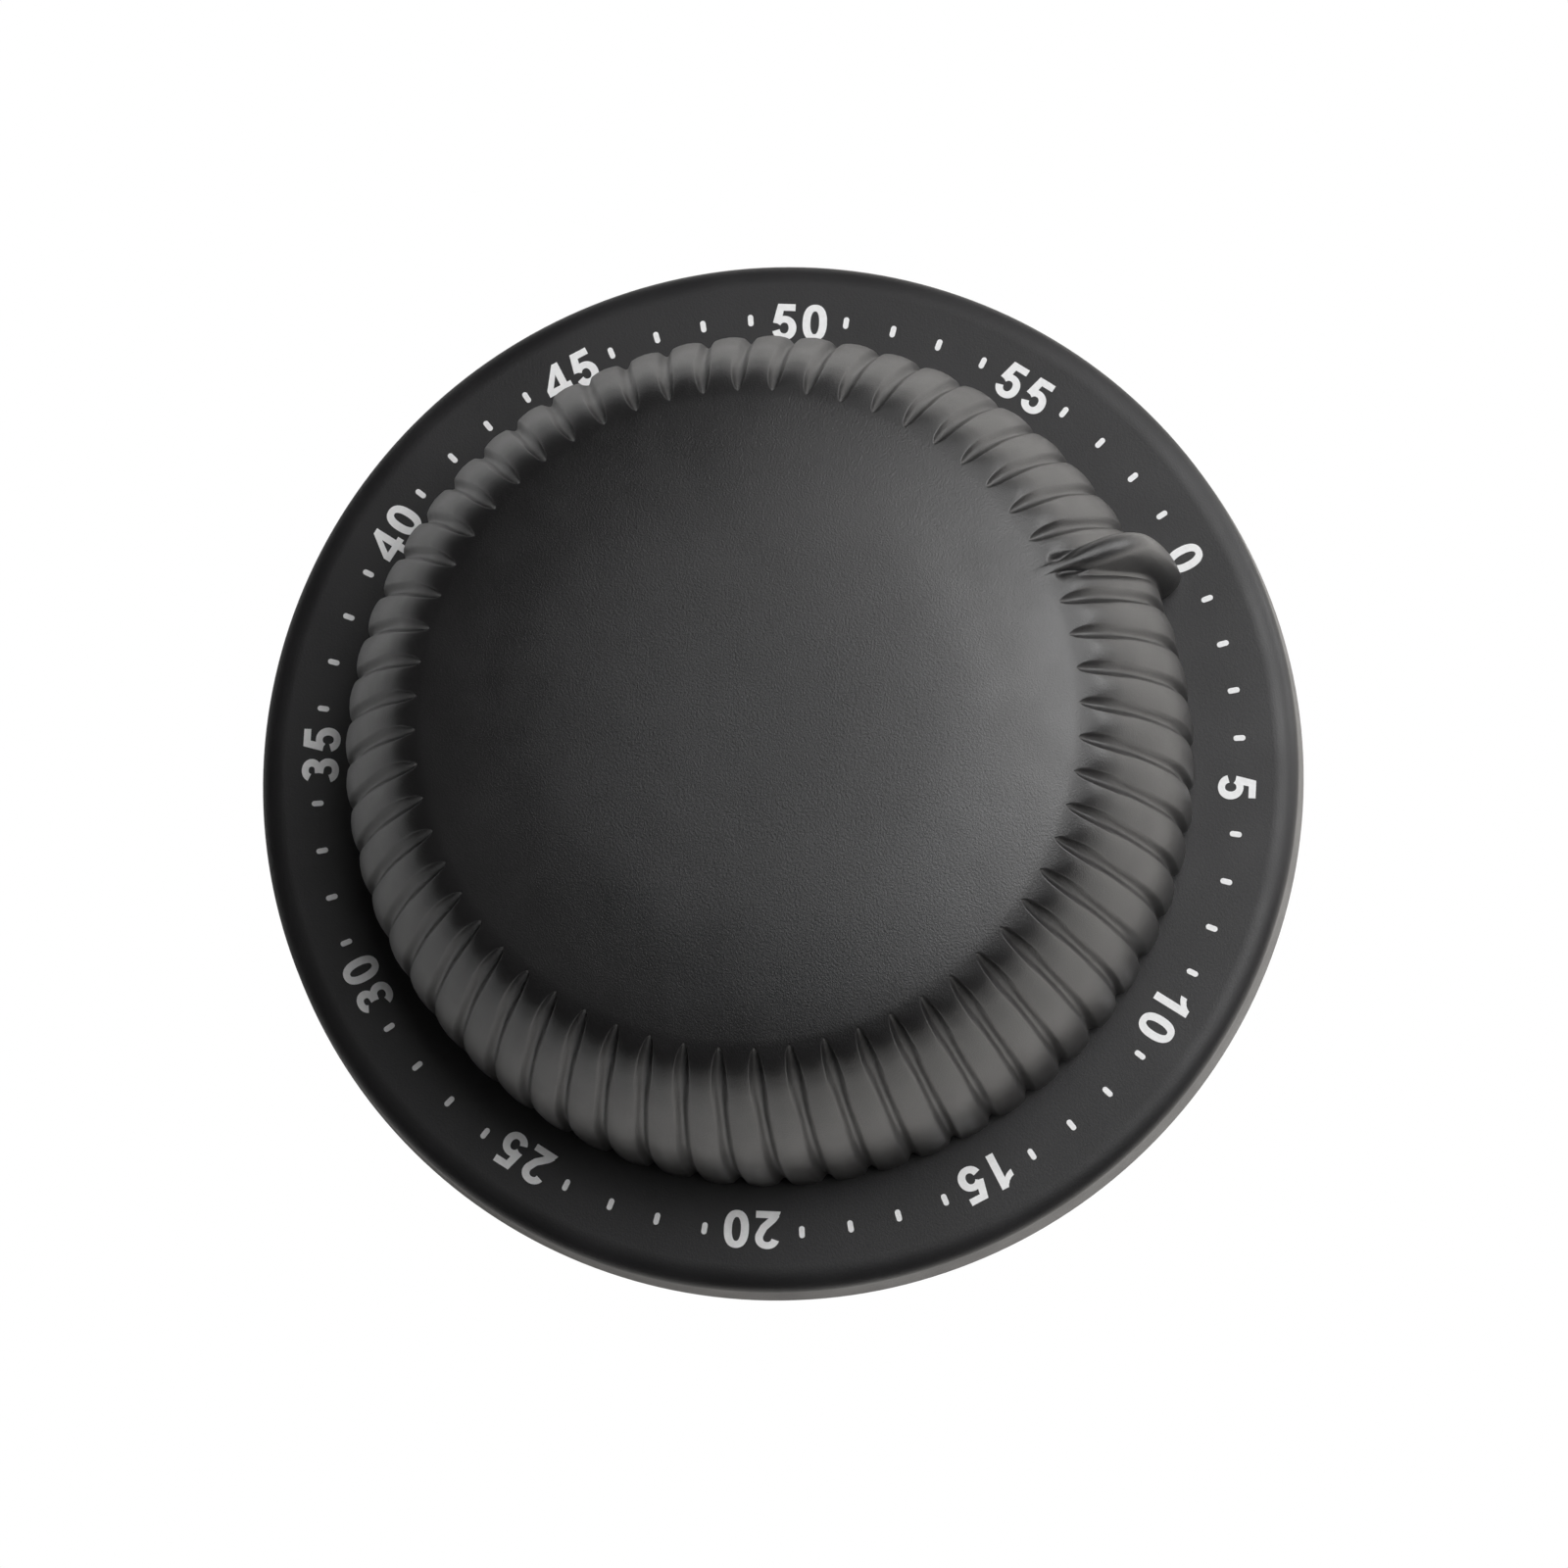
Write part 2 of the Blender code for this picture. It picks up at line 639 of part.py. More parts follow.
def make_trip_cam(brass):
    """A disc with one notch, which lets the hammer's finger fall at zero."""
    count = 36
    rim = []
    for i in range(count):
        angle = HAMMER_AT_DEG + 360.0 * i / count
        off = abs((360.0 * i / count + 180.0) % 360.0 - 180.0)
        rim.append(around(CAM_R - 1.4 * MM if off < CAM_NOTCH_DEG / 2 else CAM_R, angle))
    flat("trip_cam", [rim, circle(ARBOR_R + GAP, 16)], CAM_Z, CAM_Z + WHEEL_T, brass)


def make_mainspring(spring_steel, steel):
    """A flat strip wound from the arbor's collar to a stud under the upper plate."""
    steps_per_turn = 18
    pitch = (SPRING_OUT_R - SPRING_IN_R) / SPRING_TURNS
    curve = bpy.data.curves.new("mainspring", "CURVE")
    curve.dimensions = "3D"
    curve.extrude = SPRING_HEIGHT / 2
    spline = curve.splines.new("POLY")
    count = SPRING_TURNS * steps_per_turn + 1
    spline.points.add(count - 1)
    for i, point in enumerate(spline.points):
        x, y = around(SPRING_IN_R + pitch * i / steps_per_turn, SPRING_END_DEG + 360.0 * i / steps_per_turn)
        point.co = (x, y, 0.0, 1.0)
    spring = add_object("mainspring", curve, spring_steel, z=SPRING_Z + SPRING_HEIGHT / 2)
    thickness = spring.modifiers.new("Strip", "SOLIDIFY")
    thickness.thickness = SPRING_STRIP
    thickness.offset = 0.0
    collar_out = SPRING_IN_R - SPRING_STRIP - GAP
    washer("spring_collar", ARBOR_R + GAP, collar_out, SPRING_Z, SPRING_Z + SPRING_HEIGHT, steel, 20)
    shaft(
        "spring_stud",
        [(STOP_R, UPPER_TOP), (STOP_R + 0.4 * MM, UPPER_Z - GAP), (0.0, SPRING_Z - GAP)],
        steel,
        SPRING_STUD_AT,
        8,
    )


def make_stops(steel):
    """A post on the lower plate and a pin under the main wheel, which end the knob's travel."""
    fixed_top, moving_foot = MAIN_Z - 0.25 * MM, LOWER_TOP + 0.25 * MM
    shaft(
        "stop_post",
        [(STOP_R, fixed_top), (0.0, LOWER_Z)],
        steel,
        around(STOP_CIRCLE_R, STOP_AT_DEG),
        8,
    )
    shaft(
        "stop_pin",
        [(STOP_R, MAIN_Z - 0.05 * MM), (0.0, moving_foot)],
        steel,
        around(STOP_CIRCLE_R, STOP_AT_DEG - STOP_STEP_DEG),
        8,
    )


# ---- Train --------------------------------------------------------------------------------------


def make_train(brass, steel):
    """Three arbors with their pinions, and the two wheels between them."""
    bore = STAFF_R + GAP / 2
    places = (CENTRE, SECOND_AT, THIRD_AT, ESCAPE_AT)
    meshes = (MAIN_MESH, SECOND_MESH, THIRD_MESH)
    levels = (MAIN_Z, SECOND_WHEEL_Z, THIRD_WHEEL_Z)
    names = ("second", "third", "escape")
    for i, (name, mesh, z) in enumerate(zip(names, meshes, levels)):
        train_arbor(f"{name}_arbor", places[i + 1], steel, mesh, places[i], z - GAP, z + WHEEL_T + 2 * GAP)
    for i, name in ((1, "second"), (2, "third")):
        wheel(f"{name}_wheel", meshes[i], places[i], places[i + 1], levels[i], WHEEL_T, bore, brass, holes=4)


def star_outline(teeth, tip, root, lean_deg):
    """Pointed teeth that lean forwards by this angle."""
    step = 360.0 / teeth
    points = []
    for tooth in range(teeth):
        points.append(around(root, step * tooth - 0.25 * step))
        points.append(around(tip, step * tooth + lean_deg - 0.04 * step))
        points.append(around(tip, step * tooth + lean_deg + 0.04 * step))
        points.append(around(root, step * tooth + 0.25 * step))
    return points


def make_escapement(brass, steel):
    bore = circle(STAFF_R + GAP / 2, 12)
    teeth = star_outline(ESCAPE_TEETH, ESCAPE_R, ESCAPE_R - 1.3 * MM, 6.0)
    flat("escape_wheel", [teeth, bore], ESCAPE_Z, ESCAPE_Z + WHEEL_T, brass, ESCAPE_AT)

    train_arbor("pallet_arbor", PALLET_AT, steel)
    toward = bearing(PALLET_AT, ESCAPE_AT)
    pin_r = 0.3 * MM
    toward_pin, aside = around(ESCAPE_R + pin_r + 0.4 * MM, 32.0)
    along = PALLET_DISTANCE - toward_pin
    hub, pad = 1.5 * MM, 0.6 * MM
    lever_z = ESCAPE_Z + WHEEL_T + GAP
    lever = [
        (-hub, -0.7 * hub), (0.0, -hub), (along - pad, -aside - pad), (along + pad, -aside - pad),
        (along + pad, -aside + pad), (hub, 0.0), (along + pad, aside - pad), (along + pad, aside + pad),
        (along - pad, aside + pad), (0.0, hub), (-hub, 0.7 * hub),
    ]
    flat("pallet_lever", [lever, bore], lever_z, lever_z + WHEEL_T, brass, PALLET_AT, toward)
    turn = math.radians(toward)
    for number, side in enumerate((-aside, aside), 1):
        place = (
            PALLET_AT[0] + along * math.cos(turn) - side * math.sin(turn),
            PALLET_AT[1] + along * math.sin(turn) + side * math.cos(turn),
        )
        shaft(
            f"pallet_pin_{number}",
            [(pin_r, lever_z - GAP / 3), (0.0, ESCAPE_Z - 0.1 * MM)],
            steel,
            place,
            steps=8,
        )
    balance_z = CAM_Z
    weight_r = 1.4 * MM
    arm = BALANCE_REACH - weight_r
    outlines = [bar(arm, arm, 1.0 * MM), bore]
    balance = flat("balance_bar", outlines, balance_z, balance_z + 0.8 * MM, steel, PALLET_AT, PALLET_AT_DEG)
    balance = as_mesh(balance)
    for radius in (TRAIN_R - arm, TRAIN_R + arm):
        weight = [(weight_r, balance_z + 1.2 * MM), (0.0, balance_z - 0.2 * MM)]
        boolean(balance, shaft("weight", weight, None, around(radius, PALLET_AT_DEG)), "UNION")


# ---- Strike -------------------------------------------------------------------------------------


BELL_SCREW_R = 1.2 * MM
HEAD_R = 1.5 * MM
HEAD_AT = around(BELL_R - BELL_WALL - HEAD_R - 0.5 * MM, HAMMER_AT_DEG - 26.0)
BELL_ARM_Z = BELL_Z + BELL_DEPTH - 1.1 * MM


def make_bell(bell_steel, steel):
    """An open steel cup under the lower plate, held by a screw on a post."""
    floor = BELL_Z + BELL_WALL
    top = BELL_Z + BELL_DEPTH
    inner_r = BELL_R - BELL_WALL
    inner_round = BELL_ROUND - BELL_WALL
    bore = BELL_SCREW_R + GAP
    outside, inside = [], []
    for angle in (0.0, -45.0, -90.0):
        x, y = around(1.0, angle)
        outside.append((BELL_R - BELL_ROUND * (1 - x), BELL_Z + BELL_ROUND * (1 + y)))
        inside.append((inner_r - inner_round * (1 - x), floor + inner_round * (1 + y)))
    profile = [(BELL_R, top), *outside, (bore, BELL_Z), (bore, floor), *inside[::-1], (inner_r, top)]
    turned("bell", profile, bell_steel, 40, ring=True)
    washer("bell_post", bore, 2.4 * MM, floor + GAP / 3, LOWER_Z - 2 * GAP, steel, 12)
    shaft(
        "bell_screw",
        [(BELL_SCREW_R, LOWER_Z - 3 * GAP), (2.6 * MM, BELL_Z - GAP / 2), (0.0, COVER_TOP + GAP / 2)],
        steel,
    )


def make_hammer(brass, steel):
    """The hammer's arbor carries the bell arm below the plate, and the finger and the tail above it."""
    bore = circle(STAFF_R + GAP / 2, 12)
    shaft(
        "hammer_arbor",
        [(PIVOT_R, UPPER_TOP + GAP / 2), (STAFF_R, UPPER_Z - 0.2 * MM), (0.0, BELL_ARM_Z - GAP)],
        steel,
        HAMMER_AT,
    )
    arm_length = math.dist(HAMMER_AT, HEAD_AT)
    head_hole = circle(0.6 * MM + GAP, 12, (arm_length, 0.0))
    flat(
        "hammer_arm",
        [bar(0.0, arm_length, 1.5 * MM), bore, head_hole],
        BELL_ARM_Z,
        BELL_ARM_Z + WHEEL_T,
        steel,
        HAMMER_AT,
        bearing(HAMMER_AT, HEAD_AT),
    )
    shaft(
        "hammer_head",
        [
            (0.6 * MM, BELL_ARM_Z + WHEEL_T + 0.2 * MM),
            (HEAD_R, BELL_ARM_Z - GAP),
            (0.0, BELL_Z + BELL_WALL + 0.5 * MM),
        ],
        brass,
        HEAD_AT,
    )
    finger_reach = math.hypot(*HAMMER_AT) - CAM_R - 0.45 * MM
    flat(
        "trip_finger",
        [bar(0.0, finger_reach - 1.3 * MM, 1.3 * MM), bore],
        CAM_Z,
        CAM_Z + WHEEL_T,
        steel,
        HAMMER_AT,
        HAMMER_AT_DEG + 180.0,
    )
    star = star_outline(8, STAR_R, STAR_R - 1.2 * MM, 8.0)
    flat("strike_star", [star, bore], HAMMER_TAIL_Z, HAMMER_TAIL_Z + WHEEL_T, brass, SECOND_AT)
    tail_reach = math.dist(HAMMER_AT, SECOND_AT) - STAR_R - 0.5 * MM
    flat(
        "hammer_tail",
        [bar(0.0, tail_reach - 1.3 * MM, 1.3 * MM), bore],
        HAMMER_TAIL_Z,
        HAMMER_TAIL_Z + WHEEL_T,
        steel,
        HAMMER_AT,
        bearing(HAMMER_AT, SECOND_AT),
    )


def make_hammer_spring(spring_steel):
    """A coil round the hammer's arbor."""
    turns, per_turn, coil_r = 2.5, 10, STAFF_R + 0.7 * MM
    z0, pitch = CAM_Z + WHEEL_T + 0.7 * MM, 0.6 * MM
    start = bearing(HAMMER_AT, CENTRE) + 60.0
    points = []
    for i in range(round(turns * per_turn) + 1):
        x, y = around(coil_r, start - 360.0 * i / per_turn)
        points.append((HAMMER_AT[0] + x, HAMMER_AT[1] + y, z0 + pitch * i / per_turn))
    wire("hammer_spring", points, 0.15 * MM, spring_steel)


# ---- Knob ---------------------------------------------------------------------------------------


def inset(profile, distance):
    """A profile moved inwards, square to its own line."""
    moved = []
    for i, (r, z) in enumerate(profile):
        before, after = profile[max(i - 1, 0)], profile[min(i + 1, len(profile) - 1)]
        run, rise = after[0] - before[0], after[1] - before[1]
        length = math.hypot(run, rise)
        moved.append((max(0.0, r + rise / length * distance), z - run / length * distance))
    return moved


KNOB_PROFILE = [(SKIRT_R * r, DIAL_HEIGHT + KNOB_HEIGHT * h) for r, h, _ in KNOB_OUTLINE]
KNOB_PROFILE.append((SKIRT_R, KNOB_Z))
KNOB_TURN_DEG = -POINTER_PAST_DEG


def make_knob(material):
    """A hollow cap with flutes down its shoulder, a hub for the arbor and a keel-shaped pointer."""
    profile = KNOB_PROFILE + [(0.0, KNOB_Z)]
    knob = as_mesh(turned("knob", profile, material, 3 * FLUTES, turn_deg=KNOB_TURN_DEG))
    depths = {round(z, 7): depth * FLUTE_DEPTH for (_, z), (_, _, depth) in zip(KNOB_PROFILE, KNOB_OUTLINE)}
    depths[round(KNOB_Z, 7)] = FLUTE_DEPTH
    pitch = 360.0 / FLUTES
    for vertex in knob.data.vertices:
        x, y, z = vertex.co
        radius = math.hypot(x, y)
        depth = depths[round(z, 7)] if radius > SKIRT_R / 2 else 0.0
        angle = math.degrees(math.atan2(y, x))
        flute = round(angle / pitch)
        off = angle - flute * pitch
        if depth and abs(angle - 90.0) > pitch / 2:
            if abs(off) < pitch / 6:
                radius -= depth
            else:
                angle = flute * pitch + math.copysign(FLUTE_WIDTH_DEG / 2, off)
            vertex.co.x, vertex.co.y = around(radius, angle)

    boolean(knob, make_pointer(), "UNION")
    boolean(knob, make_knob_cavity())


def make_pointer():
    """A tall keel that leaves the shoulder above its flutes and drops steeply to a nose over the zero
    mark. It widens from its tip to its nose."""
    tip, nose = POINTER_TIP * SKIRT_R, SKIRT_R + POINTER_REACH
    crest = [(tip + (nose - tip) * out, DIAL_HEIGHT + KNOB_HEIGHT * up) for out, up in POINTER_CREST]
    crest.append((nose, KNOB_Z))
    root = inset(KNOB_PROFILE, KNOB_WALL / 2)[3:-1]
    root.append((SKIRT_R - KNOB_WALL / 2, KNOB_Z))
    pointer = as_mesh(flat("pointer", [crest + root[::-1]], -POINTER_WIDTH / 2, POINTER_WIDTH / 2))
    for vertex in pointer.data.vertices:
        out = min(1.0, max(0.0, (vertex.co.x - tip) / (nose - tip)))
        width = POINTER_TIP_WIDTH + (POINTER_WIDTH - POINTER_TIP_WIDTH) * out
        vertex.co.z *= width / POINTER_WIDTH
    pointer.rotation_euler = (math.radians(90), 0.0, math.radians(90 + KNOB_TURN_DEG))
    bpy.context.view_layer.update()
    return pointer


def make_knob_cavity():
    """The room inside the cap. It leaves the hub standing, with the arbor's bore in it."""
    inside = inset(KNOB_PROFILE, KNOB_WALL)
    roof = [(r, z) for r, z in inside if r > HUB_R]
    bore = ARBOR_R + GAP
    profile = [
        (0.0, ARBOR_TOP + GAP),
        (bore, ARBOR_TOP + GAP),
        (bore, HUB_Z),
        (HUB_R, HUB_Z),
        (HUB_R, inside[0][1]),
        *roof[:-1],
        (SKIRT_R - KNOB_WALL, KNOB_Z - 1.0 * MM),
        (0.0, KNOB_Z - 1.0 * MM),
    ]
    return turned("knob_cavity", profile, None, 48)


def make_hub_ring(spring_steel):
    """A split ring that squeezes the hub onto the arbor."""
    inner, outer, half_gap = HUB_R + GAP, HUB_R + GAP + 0.7 * MM, 12.0
    angles = [half_gap + (360.0 - 2 * half_gap) * i / 24 for i in range(25)]
    outline = [around(outer, a) for a in angles] + [around(inner, a) for a in reversed(angles)]
    flat("hub_ring", [outline], HUB_Z + 0.8 * MM, HUB_Z + 2.2 * MM, spring_steel)


# ---- Assembly -----------------------------------------------------------------------------------

clear_scene()
parts = new_collection("kitchen_timer")
cutters = new_collection("cutters")

black = new_material("black_plastic", (0.012, 0.011, 0.012), 0.5)
rubber = new_material("grip_rubber", (0.02, 0.02, 0.02), 0.85)
magnet = new_material("magnet_ferrite", (0.10, 0.10, 0.11), 0.5, 0.4)
brass = new_material("brass", (0.70, 0.52, 0.22), 0.3, 1.0)
steel = new_material("steel", (0.60, 0.61, 0.63), 0.3, 1.0)
plate_steel = new_material("plate_steel", (0.68, 0.67, 0.62), 0.35, 1.0)
spring_steel = new_material("spring_steel", (0.22, 0.25, 0.34), 0.3, 1.0)
bell_steel = new_material("bell_steel", (0.75, 0.75, 0.76), 0.15, 1.0)

make_front_case(black)
make_rear_cover(black)
make_magnets(magnet)
make_cover_screws(steel)
make_rubber_ring(rubber)
make_plates(plate_steel)
make_pillars(steel)
make_clamping_bush(brass, steel)
make_winding_arbor(steel)
make_main_wheel(brass)
make_ratchet(steel)
make_click(brass, steel, spring_steel)
make_trip_cam(brass)
make_mainspring(spring_steel, steel)
make_stops(steel)
make_train(brass, steel)
make_escapement(brass, steel)
make_bell(bell_steel, steel)
make_hammer(brass, steel)
make_hammer_spring(spring_steel)
make_knob(black)
make_hub_ring(spring_steel)
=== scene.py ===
import json
import math

import bmesh
import bpy
import numpy as np
from mathutils import Matrix, Vector


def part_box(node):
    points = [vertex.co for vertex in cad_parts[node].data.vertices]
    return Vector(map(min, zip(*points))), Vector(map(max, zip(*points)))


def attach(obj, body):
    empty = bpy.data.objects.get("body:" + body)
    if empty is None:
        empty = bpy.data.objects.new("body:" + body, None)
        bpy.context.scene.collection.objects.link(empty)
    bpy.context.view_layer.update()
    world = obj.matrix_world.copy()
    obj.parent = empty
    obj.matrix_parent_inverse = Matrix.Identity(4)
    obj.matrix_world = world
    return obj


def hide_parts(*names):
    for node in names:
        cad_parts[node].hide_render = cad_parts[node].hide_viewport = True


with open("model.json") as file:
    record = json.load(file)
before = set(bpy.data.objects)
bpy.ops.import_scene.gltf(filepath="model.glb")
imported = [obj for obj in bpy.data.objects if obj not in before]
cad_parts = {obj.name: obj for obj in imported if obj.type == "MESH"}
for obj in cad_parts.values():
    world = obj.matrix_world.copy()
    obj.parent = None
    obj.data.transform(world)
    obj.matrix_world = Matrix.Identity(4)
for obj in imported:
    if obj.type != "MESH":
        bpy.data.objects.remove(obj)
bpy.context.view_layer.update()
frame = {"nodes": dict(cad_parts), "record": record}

MM = 0.001


def polar(radius, angle):
    return (radius * math.cos(angle), radius * math.sin(angle))


def smoothstep(x):
    x = min(1.0, max(0.0, x))
    return x * x * (3.0 - 2.0 * x)


def new_object(name, data):
    obj = bpy.data.objects.new(name, data)
    bpy.context.scene.collection.objects.link(obj)
    return obj


# ---- Camera -------------------------------------------------------------------------------------

CAMERA_AIM = Vector((1.184, 0.078, 7.0)) * MM
CAMERA_DISTANCE = 510.3 * MM
CAMERA_TILT = math.radians(11.05)       # off straight down
CAMERA_AZIMUTH = math.radians(1.14)
CAMERA_ROLL = math.radians(-28.78)
CAMERA_LENS = 154.24                    # in mm, as is the sensor's width
SENSOR_WIDTH = 36.0


def make_camera():
    data = bpy.data.cameras.new("camera")
    data.lens = CAMERA_LENS
    data.sensor_width = SENSOR_WIDTH
    data.clip_start = 10 * MM
    camera = new_object("camera", data)
    back = Vector((*polar(math.sin(CAMERA_TILT), CAMERA_AZIMUTH), math.cos(CAMERA_TILT)))
    right = Vector((-math.sin(CAMERA_AZIMUTH), math.cos(CAMERA_AZIMUTH), 0.0))
    right = Matrix.Rotation(CAMERA_ROLL, 3, back) @ right
    up = back.cross(right)
    turn = Matrix((right, up, back)).transposed().to_4x4()
    camera.matrix_world = Matrix.Translation(CAMERA_AIM + CAMERA_DISTANCE * back) @ turn
    bpy.context.scene.camera = camera


# ---- Sizes from the frame -----------------------------------------------------------------------


def top_of(node):
    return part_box(node)[1].z


def foot_of(node):
    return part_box(node)[0].z


def centre_of(node):
    low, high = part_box(node)
    return ((low.x + high.x) / 2, (low.y + high.y) / 2)


def radius_of(node):
    low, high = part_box(node)
    return (high.x - low.x) / 2


GAP = 0.3 * MM                          # between pieces that fit together
CASE_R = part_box("front_case")[1].x
CASE_FOOT = foot_of("front_case")
TURRET_TOP = top_of("front_case")
PLATE_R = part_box("upper_plate")[1].x
CEILING = top_of("upper_plate") + GAP
COVER_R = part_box("rear_cover")[1].x
COVER_FOOT = foot_of("rear_cover")
KNOB_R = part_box("knob")[1].x
KNOB_FOOT = foot_of("knob")
ARBOR_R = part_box("winding_arbor")[1].x
ARBOR_TOP = top_of("winding_arbor")

DIAL = KNOB_FOOT - 0.5 * MM             # the dial's face
CASE_WALL = 1.5 * MM
RIM_DRAFT = 0.3 * MM                    # how much wider the rim wall is at its foot
KNOB_WALL = 1.8 * MM
RING_WIDTH = 2.5 * MM
SCREW_R = 1.3 * MM
HUB_R = 4.6 * MM
HUB_FOOT = top_of("threaded_bush") + 2 * GAP
POINTER_PAST = math.radians(1.75)       # the pointer rests this far past the zero mark
NUMBERS = (1, 2, 3)                     # of the cover's magnets and screws

# ---- Shader helpers -----------------------------------------------------------------------------


class Shader:
    """A material's nodes, with the few that every finish here is made of."""

    def __init__(self, name):
        self.material = bpy.data.materials.new(name)
        self.material.use_nodes = True
        self.tree = self.material.node_tree
        self.surface = self.tree.nodes["Principled BSDF"]
        self.place = self.tree.nodes.new("ShaderNodeTexCoord").outputs["Object"]

    def set(self, **values):
        for name, value in values.items():
            self.surface.inputs[name.replace("_", " ")].default_value = value

    def link(self, output, name):
        self.tree.links.new(output, self.surface.inputs[name])

    def node(self, kind, inputs, **settings):
        node = self.tree.nodes.new(kind)
        for name, value in settings.items():
            setattr(node, name, value)
        for name, value in inputs.items():
            if isinstance(value, bpy.types.NodeSocket):
                self.tree.links.new(value, node.inputs[name])
            else:
                node.inputs[name].default_value = value
        return node

    def noise(self, size, detail=2.0, rough=0.5, stretch=(1.0, 1.0, 1.0)):
        """Noise whose features are about this size, in metres."""
        scaled = self.node("ShaderNodeMapping", {"Vector": self.place, "Scale": stretch})
        values = {
            "Vector": scaled.outputs[0],
            "Scale": 1.0 / size,
            "Detail": detail,
            "Roughness": rough,
        }
        return self.node("ShaderNodeTexNoise", values).outputs["Fac"]

    def ramp(self, value, low, high, to_low, to_high):
        values = {
            "Value": value,
            "From Min": low,
            "From Max": high,
            "To Min": to_low,
            "To Max": to_high,
        }
        return self.node("ShaderNodeMapRange", values).outputs["Result"]

    def blend(self, factor, low, high):
        node = self.node("ShaderNodeMix", {0: factor}, data_type="RGBA")
        for index, colour in ((6, low), (7, high)):
            node.inputs[index].default_value = (*colour, 1.0)
        return node.outputs[2]

    def bump(self, height, depth):
        values = {"Height": height, "Strength": 1.0, "Distance": depth}
        return self.node("ShaderNodeBump", values).outputs["Normal"]


def moulded_plastic(name, colour, roughness, grain, grain_depth, specular=0.5):
    """Black plastic with the fine spark-eroded grain of its mould, and faint handling marks."""
    s = Shader(name)
    s.set(Specular_IOR_Level=specular, IOR=1.5)
    cloud = s.noise(9.0 * MM, 3.0)
    lighter = tuple(c * 1.25 for c in colour)
    darker = tuple(c * 0.8 for c in colour)
    s.link(s.blend(s.ramp(cloud, 0.3, 0.7, 0.0, 1.0), darker, lighter), "Base Color")
    fine = s.noise(grain, 3.0, 0.6)
    worn = s.ramp(s.noise(4.0 * MM, 4.0), 0.35, 0.7, roughness - 0.03, roughness + 0.04)
    s.link(worn, "Roughness")
    s.link(s.bump(fine, grain_depth), "Normal")
    return s.material


def print_ink():
    """Pad-printed white, slightly uneven."""
    s = Shader("print_white")
    s.set(Specular_IOR_Level=0.4)
    mottle = s.ramp(s.noise(0.35 * MM, 3.0), 0.35, 0.7, 0.0, 1.0)
    s.link(s.blend(mottle, (0.92, 0.92, 0.92), (0.99, 0.99, 0.99)), "Base Color")
    s.link(s.ramp(s.noise(1.5 * MM), 0.3, 0.7, 0.42, 0.58), "Roughness")
    s.link(s.bump(s.noise(0.12 * MM, 3.0), 0.006 * MM), "Normal")
    return s.material


def rubber():
    s = Shader("grip_rubber")
    s.set(Specular_IOR_Level=0.35)
    dark, light = (0.012, 0.012, 0.012), (0.03, 0.029, 0.028)
    s.link(s.blend(s.noise(2.5 * MM, 4.0), dark, light), "Base Color")
    s.link(s.ramp(s.noise(1.2 * MM, 3.0), 0.3, 0.7, 0.72, 0.88), "Roughness")
    s.link(s.bump(s.noise(0.16 * MM, 4.0, 0.65), 0.03 * MM), "Normal")
    return s.material


def ferrite():
    """Pressed magnet: charcoal grey, granular, with a few lighter rubs."""
    s = Shader("magnet_ferrite")
    s.set(Metallic=0.35)
    dark, light = (0.035, 0.035, 0.038), (0.10, 0.10, 0.105)
    s.link(s.blend(s.noise(0.5 * MM, 5.0, 0.7), dark, light), "Base Color")
    s.link(s.ramp(s.noise(1.8 * MM, 4.0), 0.3, 0.7, 0.42, 0.65), "Roughness")
    s.link(s.bump(s.noise(0.2 * MM, 4.0, 0.7), 0.03 * MM), "Normal")
    return s.material


METAL_GRAIN_DEPTH = 0.006 * MM


def metal(name, dark, light, roughness, grain=(1.0, 1.0, 12.0), grain_size=0.5 * MM):
    """Metal with a directional machining grain, cloudy tarnish and uneven polish."""
    s = Shader(name)
    s.set(Metallic=1.0)
    tarnish = s.ramp(s.noise(3.0 * MM, 5.0, 0.6), 0.3, 0.72, 0.0, 1.0)
    s.link(s.blend(tarnish, light, dark), "Base Color")
    streaks = s.noise(grain_size, 3.0, 0.6, grain)
    s.link(s.ramp(streaks, 0.3, 0.7, roughness - 0.07, roughness + 0.1), "Roughness")
    s.link(s.bump(streaks, METAL_GRAIN_DEPTH), "Normal")
    return s.material


knob_black = moulded_plastic("knob_black", (0.011, 0.0105, 0.011), 0.36, 0.13 * MM, 0.03 * MM, 0.75)
case_black = moulded_plastic("case_black", (0.014, 0.0135, 0.0145), 0.46, 0.16 * MM, 0.012 * MM)
cover_black = moulded_plastic("cover_black", (0.020, 0.020, 0.021), 0.5, 0.3 * MM, 0.03 * MM)
ink = print_ink()
rubber_black = rubber()
magnet_grey = ferrite()
FINISHES = {
    "brass": metal("brass", (0.42, 0.27, 0.09), (0.78, 0.56, 0.24), 0.27),
    "steel": metal("steel", (0.42, 0.42, 0.43), (0.62, 0.62, 0.63), 0.25),
    "plate_steel": metal(
        "plate_steel", (0.50, 0.48, 0.42), (0.70, 0.69, 0.63), 0.32, (14.0, 1.0, 1.0), 0.7 * MM
    ),
    "spring_steel": metal("spring_steel", (0.10, 0.12, 0.20), (0.26, 0.28, 0.33), 0.28),
    "bell_steel": metal(
        "bell_steel", (0.62, 0.62, 0.62), (0.80, 0.80, 0.80), 0.13, (1.0, 1.0, 20.0)
    ),
}

# ---- Mesh helpers -------------------------------------------------------------------------------

WELD_DISTANCE = 1e-7


